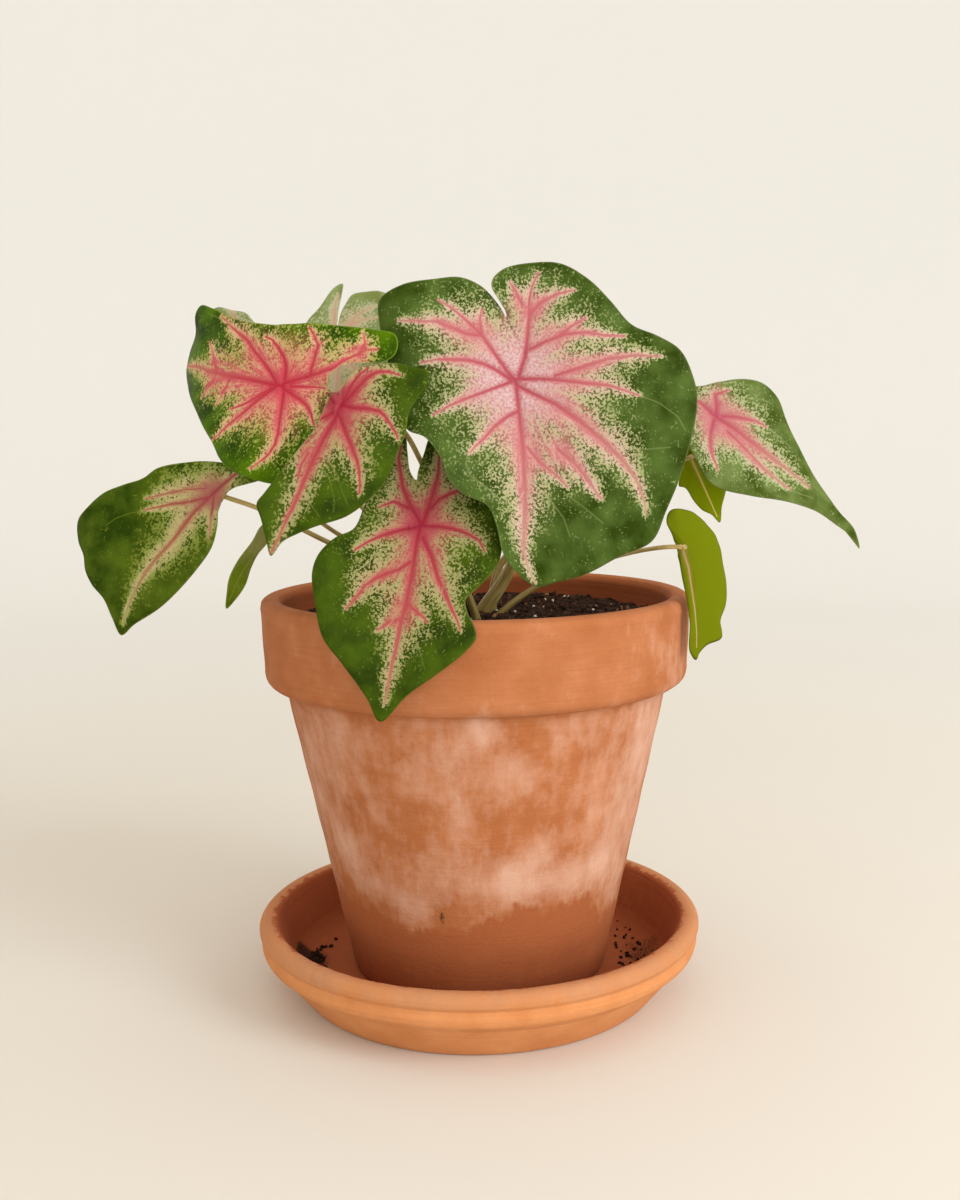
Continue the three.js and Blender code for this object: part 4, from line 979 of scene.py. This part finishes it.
def vein_fields(leaf, spots):
    """What the veins do at flat spots. pink, blush and cream are the distance to a vein over its half
    width there, joined over all veins as (sum of ratio^-4)^(-1/4); toward a vein's end the first and
    the last thin as 1 - share^3, and blush as (1 - share)^2. core and hair are the way to the nearest
    line over its half width, and its length less 1 mm, which rules out the halfway line between two
    lines where the ways from both sides cancel. depth is how far a vein sinks the blade, 0 to 1, and
    nearest the distance to the nearest vein."""
    pink, blush, cream, depth = np.zeros((4, len(spots)))
    nearest = np.full(len(spots), 99.0)
    core, hair = np.full((2, len(spots), 3), 99.0)
    for (pink_start, pink_end, cream_start, cream_end), line in leaf["veins"]:
        way, share = way_from(line, spots)
        share = np.minimum(share, 1)
        far = np.maximum(np.linalg.norm(way, axis=1), 0.01)
        thinning = 1 - share ** 3
        pink += (far / (0.15 + thinning * (pink_start + (pink_end - pink_start) * share))) ** -4
        cream += (far / (1 + thinning * (cream_start + (cream_end - cream_start) * share))) ** -4
        blush += (far / (0.5 + leaf["blush"] * cream_start * (1 - share) ** 2)) ** -4
        strength = min(1, pink_start / 3) * (1 - 0.6 * share)
        depth = np.maximum(depth, strength * np.exp(-(far / 1.3) ** 2))
        closer = far < nearest
        half_width = (0.15 + 0.5 * strength)[:, None]
        core[closer] = np.concatenate([way / half_width, far[:, None] - 1], axis=1)[closer]
        nearest = np.minimum(nearest, far)
    for line in leaf["hairs"]:
        way, _ = way_from(line, spots)
        far = np.linalg.norm(way, axis=1)
        closer = far < hair[:, 2] + 1
        hair[closer] = np.concatenate([way / 0.3, far[:, None] - 1], axis=1)[closer]
    sums = {"pink": pink, "blush": blush, "cream": cream}
    fields = {name: (total + FAR_OFF ** -4) ** -0.25 for name, total in sums.items()}
    return {**fields, "core": core, "hair": hair}, depth, nearest


HALF_THICKNESS = 0.3  # of a blade


def build_blade(leaf, seed):
    """A closed thin shell: the rings of the front face, the margin, and the rings of the back face
    to the hub again. Veins sink the blade by up to 0.5 mm, the tissue between them rises by 0.7 mm,
    ribs stand 0.5 mm out of the back, and the margin waves by 0.6 mm."""
    flat, lift, t, rim = flat_rings(leaf)
    rows, columns = t.shape
    size = rows * columns
    spots = np.concatenate([flat.reshape(-1, 2), [leaf["hub"]]])
    lift, t = np.append(lift, 0), np.append(t, 0)
    fields, depth, nearest = vein_fields(leaf, spots)
    angle = np.arctan2(spots[:, 1], spots[:, 0])
    radius = np.linalg.norm(spots, axis=1)
    quilt = 0.7 * (1 - np.exp(-(nearest / 6) ** 2)) * (1 - t ** 6)
    wave = 0.6 * t ** 6 * np.sin(9 * angle + seed) * np.sin(4 * angle + 2 * seed)
    middle, outward = bent(leaf, *spots.T, lift + quilt - 0.5 * depth + wave)
    half = HALF_THICKNESS * np.sqrt(1 - t ** 30)
    upper = middle + half[:, None] * outward
    lower = middle - (half + 0.5 * depth * (1 - t ** 8))[:, None] * outward

    def both(above, below):
        """Values of the front face's rings, then of the back face's from the margin in, then of the
        two hubs."""
        back = below[:size].reshape(rows, columns, -1)[-2::-1].reshape(-1, *below.shape[1:])
        return np.concatenate([above[:size], back, above[size:], below[size:]])

    # What the tissue reads: millimetres from the margin and from the stalk, the places at which its
    # noises are read, moved on from leaf to leaf, and 1 on the upper face, 0 on the lower.
    to_margin, _ = way_from(np.concatenate([rim, rim[:1]])[::3], spots)
    fields["edge"] = np.linalg.norm(to_margin, axis=1)
    fields["heart"] = radius
    fields["flat"] = np.concatenate([spots, 0 * spots[:, :1]], axis=1) + 40 * seed
    outward_lines = np.stack([25 * np.cos(angle), 25 * np.sin(angle), 0.12 * radius], axis=1)
    fields["stream"] = outward_lines + 40 * seed
    fields = {name: both(values, values) for name, values in fields.items()}
    front = np.full(len(t), float(leaf["under"] > 0))
    fields["face"] = both(front, 1 - front)
    faces = grid_faces(2 * rows - 1, columns, poles=True)
    return build_mesh("leaf_" + leaf["name"], both(upper, lower), *faces, fields)


# Leaf tissue: thin and waxy, with a soft sheen. Light and dark cells make a fine mosaic that thins
# out from the veins, and rose pink bleeds out of the veins into it. Light and dark change with the
# number of half widths from a vein, and the veins change with the millimetres from the stalk. The
# heart round the stalk reaches so many millimetres, and a higher limit leaves fewer light cells.
TISSUES = {
    "fresh": dict(
        veins=[(0, "#983848"), (30, "#a8585c"), (50, "#a06c64"), (78, "#949068")],
        light=[(0.2, "#bca090"), (0.95, "#a49c78"), (1.4, "#909464"), (2.4, "#707c48")],
        dark=[(0.5, "#384810"), (1.3, "#283804")],
        green="#485c24", blush="#b0686c", heart="#c0acac", below="#74845c", reach=18, limit=0.45,
    ),
    "airy": dict(
        veins=[(0, "#a04054"), (18, "#a4585c"), (45, "#988064")],
        light=[(0.3, "#b09c84"), (0.95, "#a0a078"), (1.4, "#909868"), (2.4, "#788450")],
        dark=[(0.5, "#445018"), (1.3, "#384808")],
        green="#607038", blush="#b06468", heart="#b07474", below="#788460", reach=9, limit=0.45,
    ),
    "shaded": dict(
        veins=[(0, "#943c48"), (25, "#985444"), (50, "#987450"), (72, "#849050")],
        light=[(0.3, "#b0a474"), (0.95, "#849048"), (1.4, "#748034"), (2.4, "#687424")],
        dark=[(0.5, "#344404"), (1.3, "#283c04")],
        green="#4c6014", blush="#a07058", heart="#a05858", below="#70845c", reach=8, limit=0.43,
    ),
    "sunlit": dict(
        veins=[(0, "#ac2438"), (30, "#b4444c"), (48, "#b85c58"), (60, "#b07458")],
        light=[(0.3, "#d0b088"), (0.95, "#bca870"), (1.4, "#a4a058"), (2.4, "#6c8c28")],
        dark=[(0.5, "#405004"), (1.3, "#243c04")],
        green="#4c6c04", blush="#c45460", heart="#c44454", below="#849860", reach=8, limit=0.44,
    ),
    "rose": dict(
        veins=[(0, "#881c30"), (28, "#983c40"), (48, "#984c48"), (62, "#946450"), (76, "#8c8454")],
        light=[(0.3, "#9c8864"), (0.95, "#908c5c"), (1.4, "#848450"), (2.4, "#586820")],
        dark=[(0.5, "#2c3804"), (1.3, "#243404")],
        green="#3c5008", blush="#a0484c", heart="#943044", below="#68744c", reach=8, limit=0.44,
    ),
    "young": dict(
        veins=[(0, "#7c7444"), (45, "#7c8854")],
        light=[(0.3, "#848448"), (1.4, "#78843c")],
        dark=[(0.5, "#707434"), (1.3, "#4c5c04")],
        green="#5c6c14", blush="#7c7c4c", heart="#7c7444", below="#788044", reach=20, limit=0.45,
    ),
    # For low_right, whose lower face is in front: the yellow-green is partly that face's own colour and
    # partly painted light shining through the blade from behind.
    "lime": dict(
        veins=[(0, "#a08058"), (10, "#947840"), (22, "#7c7420"), (40, "#6c7004")],
        light=[(0.3, "#ac8c68"), (0.95, "#9c8440"), (2.4, "#707804")],
        dark=[(0.5, "#5c5c04"), (1.3, "#606804")],
        green="#647004", blush="#7c7424", heart="#947848", below="#646c04", reach=6, limit=0.43,
    ),
    # Painted light: a brighter copy of lime for small_right, as if more light shone through its blade,
    # which also paints out the shade that right_front casts on it.
    "lime with painted backlight": dict(
        veins=[(0, "#dcbc74"), (10, "#c0ac4c"), (22, "#8c9810"), (40, "#849004")],
        light=[(0.3, "#e4c07c"), (0.95, "#c0ac4c"), (2.4, "#849404")],
        dark=[(0.5, "#707c04"), (1.3, "#6c7c04")],
        green="#7c8c04", blush="#a8a430", heart="#ccac58", below="#7c8c04", reach=4, limit=0.45,
    ),
    "faded": dict(
        veins=[(0, "#b49070"), (12, "#b8947c"), (30, "#ac9c78")],
        light=[(0.3, "#b4a888"), (0.95, "#a4a884"), (2.4, "#98a074")],
        dark=[(0.5, "#8c8450"), (1.3, "#707c40")],
        green="#808c58", blush="#bc9c80", heart="#bca084", below="#849064", reach=6, limit=0.45,
    ),
}


def leaf_tissue(name, veins, blush, light, dark, green, heart, below, reach, limit):
    """Builds a leaf material from the fields that a blade's mesh keeps."""
    leaf = new_material(name + " caladium leaf", {"Specular IOR Level": 0.03})
    mm = add(leaf, "Attribute", attribute_name="flat", out="Vector")
    stream = add(leaf, "Attribute", attribute_name="stream", out="Vector")
    grain = add(leaf, "TexNoise", {"Vector": mm, "Scale": 1 / 1.1, "Detail": 2.0, "Roughness": 0.7})
    cluster = add(leaf, "TexNoise", {"Vector": mm, "Scale": 1 / 5, "Detail": 3.0, "Roughness": 0.6})
    fibre = add(leaf, "TexNoise", {"Vector": stream, "Scale": 0.8, "Detail": 4.0, "Roughness": 0.65})
    cloud = add(leaf, "TexNoise", {"Vector": mm, "Scale": 1 / 12, "Detail": 3.0})
    coarse = add(leaf, "Mix", {"Factor": 0.5, "A": cluster, "B": fibre})
    noise = add(leaf, "Mix", {"Factor": 0.55, "A": coarse, "B": grain})

    # The mosaic. A cell is light where its noise tops a limit that rises away from the veins. Real
    # cells are about 0.5 mm wide, and the grain is drawn at 1.1 mm so that they show.
    creaminess = add(leaf, "Attribute", attribute_name="cream", out="Fac")
    spread = add(leaf, "Math", {0: fibre, 1: 1.4, 2: creaminess}, operation="MULTIPLY_ADD")
    spread = add(leaf, "Math", {0: cloud, 1: 1.0, 2: spread}, operation="MULTIPLY_ADD")
    spread = add(leaf, "MapRange", {0: spread, 1: 1.2, 2: 4.2})
    lights, darks = (
        add(leaf, "ValToRGB", {0: spread}, stops=[(at / 3, colour) for at, colour in stops])
        for stops in (light, dark))
    patch = add(leaf, "MapRange", {0: cloud, 1: 0.35, 2: 0.65})
    darks = add(leaf, "Mix", {"Factor": patch, "A": darks, "B": green}, data_type="RGBA")
    top = add(leaf, "MapRange", {0: spread, 3: limit, 4: 0.6})
    over = add(leaf, "Math", {0: noise, 1: top}, operation="SUBTRACT")
    cells = add(leaf, "MapRange", {0: over, 1: -0.018, 2: 0.018})
    colour = add(leaf, "Mix", {"Factor": cells, "A": darks, "B": lights}, data_type="RGBA")

    # Rose bleeds out of the veins. Where it only just covers the dark cells they look rusty.
    threads = add(leaf, "MapRange", {0: fibre, 1: 0.5, 2: 0.7, 3: 0.0, 4: 0.35})
    wash = add(leaf, "Mix", {"Factor": threads, "A": blush, "B": lights}, data_type="RGBA")
    rosy = add(leaf, "Attribute", attribute_name="blush", out="Fac")
    frayed = add(leaf, "Math", {0: fibre, 1: 2.4, 2: rosy}, operation="MULTIPLY_ADD")
    frayed = add(leaf, "Math", {0: noise, 1: 3.0, 2: frayed}, operation="MULTIPLY_ADD")
    bleed = add(leaf, "MapRange", {0: frayed, 1: 4.2, 2: 2.9, 3: 0.0, 4: 0.9})
    colour = add(leaf, "Mix", {"Factor": bleed, "A": colour, "B": wash}, data_type="RGBA")

    # It pools round the stalk, where the blade can be almost white, in a mottle as fine as its cells.
    radius = add(leaf, "Attribute", attribute_name="heart", out="Fac")
    frayed = add(leaf, "Math", {0: coarse, 1: 2.0 * reach, 2: radius}, operation="MULTIPLY_ADD")
    near = add(leaf, "MapRange", {0: frayed, 1: 2.3 * reach, 2: 1.5 * reach, 3: 0.0, 4: 0.85})
    flecks = add(leaf, "MapRange", {0: grain, 1: 0.4, 2: 0.6, 3: 0.35, 4: 1.0})
    pool = add(leaf, "Mix", {"Factor": flecks, "A": blush, "B": heart}, data_type="RGBA")
    colour = add(leaf, "Mix", {"Factor": near, "A": colour, "B": pool}, data_type="RGBA")

    # The veins lie over it all: a soft band each, deep rose at the stalk and paler toward the margin,
    # with a thin crimson line along its middle.
    from_stalk = add(leaf, "MapRange", {0: radius, 1: 0.0, 2: 80.0})
    rose = add(leaf, "ValToRGB", {0: from_stalk}, stops=[(at / 80, colour) for at, colour in veins])
    pinkness = add(leaf, "Attribute", attribute_name="pink", out="Fac")
    frayed = add(leaf, "Math", {0: grain, 1: 0.5, 2: pinkness}, operation="MULTIPLY_ADD")
    solid = add(leaf, "MapRange", {0: frayed, 1: 1.1, 2: 0.3, 3: 0.0, 4: 0.85},
                interpolation_type="SMOOTHSTEP")
    band = add(leaf, "Mix", {"Factor": 0.6, "A": blush, "B": rose}, data_type="RGBA")
    colour = add(leaf, "Mix", {"Factor": solid, "A": colour, "B": band}, data_type="RGBA")
    marks = []
    for field, cover, tint in (("core", 0.85, rose), ("hair", 0.45, lights)):
        way = add(leaf, "Attribute", attribute_name=field, out="Vector")
        aside = add(leaf, "VectorMath", {0: way, 1: (1, 1, 0)}, operation="MULTIPLY")
        aside = add(leaf, "VectorMath", {0: aside}, operation="LENGTH", out="Value")
        beyond = add(leaf, "SeparateXYZ", {0: way}, out="Z")
        apart = add(leaf, "Math", {0: aside, 1: beyond}, operation="MAXIMUM")
        marks.append(add(leaf, "MapRange", {0: apart, 1: 1.5, 2: 0.4, 3: 0.0, 4: cover}))
        colour = add(leaf, "Mix", {"Factor": marks[-1], "A": colour, "B": tint}, data_type="RGBA")
    inside = add(leaf, "Attribute", attribute_name="edge", out="Fac")
    margin = add(leaf, "MapRange", {0: inside, 1: 0.6, 2: 0.2, 3: 0.0, 4: 0.6})
    colour = add(leaf, "Mix", {"Factor": margin, "A": colour, "B": lights}, data_type="RGBA")

    # The lower face is greyer and dull, and its ribs are pale.
    dull = add(leaf, "Mix", {"Factor": cloud, "A": below, "B": green}, data_type="RGBA")
    ribs = add(leaf, "MapRange", {0: pinkness, 1: 1.2, 2: 0.3, 3: 0.0, 4: 0.5})
    dull = add(leaf, "Mix", {"Factor": ribs, "A": dull, "B": band}, data_type="RGBA")
    dull = add(leaf, "Mix", {"Factor": marks[0], "A": dull, "B": lights}, data_type="RGBA")
    face = add(leaf, "Attribute", attribute_name="face", out="Fac")
    upper = add(leaf, "MapRange", {0: face, 1: 0.45, 2: 0.55})
    feed(leaf, {
        "Base Color": add(leaf, "Mix", {"Factor": upper, "A": dull, "B": colour}, data_type="RGBA"),
        "Roughness": add(leaf, "MapRange", {0: upper, 1: 0.0, 2: 1.0, 3: 0.65, 4: 0.42}),
        "Normal": add(leaf, "Bump", {"Strength": 0.3, "Distance": 0.12 * MM, "Height": coarse}),
    })
    return leaf


tissues = {name: leaf_tissue(name, **shades) for name, shades in TISSUES.items()}

for number, leaf in enumerate(LEAVES):
    name, tissue = leaf["name"], tissues[leaf["tissue"]]
    put("leaf_" + name, build_blade(leaf, number), tissue, ["blade_" + name])

# ---- Stalks ---------------------------------------------------------------------------------
#
# Each leaf has its own smooth, juicy stalk. It wraps its neighbours with a thick sheath at the crown,
# rises upright out of the soil and bends over to the blade under the blade's weight.
CROWN = (-2, 2)  # the middle of the tuber's dome, which the stalks start on
TUBER_RADIUS, TUBER_TOP, TUBER_HEIGHT = 23, 158, 12


def build_stalk(leaf, sides=20, steps=80):
    """A tapering tube along a spline that starts on the tuber's dome, goes upright through its hole
    in the soil and ends just under the blade. Its radius is thin + (thick - thin)(1 - s)^3 at share s
    of its length, and its last 3 mm flare by a fifth where it joins the veins."""
    _, _, axis_w = axes_of(leaf)
    (x, y), (thick, thin) = leaf["foot"], leaf["girth"]
    inward = unit([CROWN[0] - x, CROWN[1] - y]) * thick
    far = np.hypot(x + inward[0] - CROWN[0], y + inward[1] - CROWN[1]) / TUBER_RADIUS
    base = TUBER_TOP - TUBER_HEIGHT * (1 - np.sqrt(1 - far ** 2))
    end = np.array(leaf["at"]) - 0.9 * axis_w
    away = -leaf["under"] * axis_w
    line = [(x, y, base), (x, y, 171), (x, y, 180), *leaf["stalk"], end + 3.5 * away, end]
    centre = spline(line, False, even_places(line, False, steps))
    s = np.linspace(0, 1, steps)[:, None]
    way = np.gradient(centre, axis=0)
    length = np.cumsum(np.linalg.norm(way, axis=1))
    way /= np.linalg.norm(way, axis=1, keepdims=True)
    across = np.cross([0, 0, 1], away)
    across = across - (way @ across)[:, None] * way  # square to the way at every step
    across /= np.linalg.norm(across, axis=1, keepdims=True)
    other = np.cross(way, across)
    angle = np.linspace(0, 2 * np.pi, sides, endpoint=False)[None]
    flare = 1 + 0.2 * np.exp(-(length[-1] - length) / 2)[:, None]
    radius = (thin + (thick - thin) * (1 - s) ** 3) * flare + 0 * angle
    ring = np.cos(angle)[..., None] * across[:, None] + np.sin(angle)[..., None] * other[:, None]
    points = centre[:, None] + radius[..., None] * ring
    straight = [radius * np.cos(angle), radius * np.sin(angle), length[:, None] + 0 * angle]
    grain = np.stack(straight, axis=-1)
    points = np.concatenate([points.reshape(-1, 3), centre[[0, -1]]])
    grain = np.concatenate([grain.reshape(-1, 3), grain[[0, -1], 0]])
    faces = grid_faces(steps, sides, poles=True)
    return build_mesh("petiole_" + leaf["name"], points, *faces, {"grain": grain})


# Stalk skin: smooth and faintly glossy, olive with fine lengthwise lines 0.7 mm wide. It is darkest
# at the soil and pales to straw over the first 90 mm: the dark low part is partly the stalk's own
# colour and partly painted shade from the leaves over the crown.
petiole = new_material("smooth olive leaf stalk", {"Specular IOR Level": 0.4, "Roughness": 0.42})
grain = add(petiole, "Attribute", attribute_name="grain", out="Vector")
along = add(petiole, "Mapping", {"Vector": grain, "Scale": (1.4, 1.4, 0.06)})
lines = add(petiole, "TexNoise", {"Vector": along, "Scale": 1.0, "Detail": 4.0})
mottle = add(petiole, "TexNoise", {"Vector": grain, "Scale": 0.6, "Detail": 4.0})
height = add(petiole, "SeparateXYZ", {0: grain}, out="Z")
# Painted shade: darker toward the soil, where the leaves shade the stalks.
pale = add(petiole, "MapRange", {0: height, 1: 20.0, 2: 90.0, 3: 0.0, 4: 1.0})
low = add(petiole, "ValToRGB", {0: lines}, stops=[(0.32, "#6c5e2a"), (0.5, "#88763c"), (0.68, "#a49358")])
high = add(petiole, "ValToRGB", {0: lines}, stops=[(0.32, "#94844a"), (0.5, "#b6a05a"), (0.68, "#ccb87a")])
tone_and_painted_shade = add(petiole, "Mix", {"Factor": pale, "A": low, "B": high}, data_type="RGBA")
brown = add(petiole, "MapRange", {0: mottle, 1: 0.4, 2: 0.7, 3: 0.0, 4: 0.4})
freckled = add(petiole, "Mix", {"Factor": brown, "A": tone_and_painted_shade, "B": "#9c7448"}, data_type="RGBA")
feed(petiole, {"Base Color": freckled})

for leaf in LEAVES:
    put("petiole_" + leaf["name"], build_stalk(leaf), petiole, ["stalk_" + leaf["name"]])
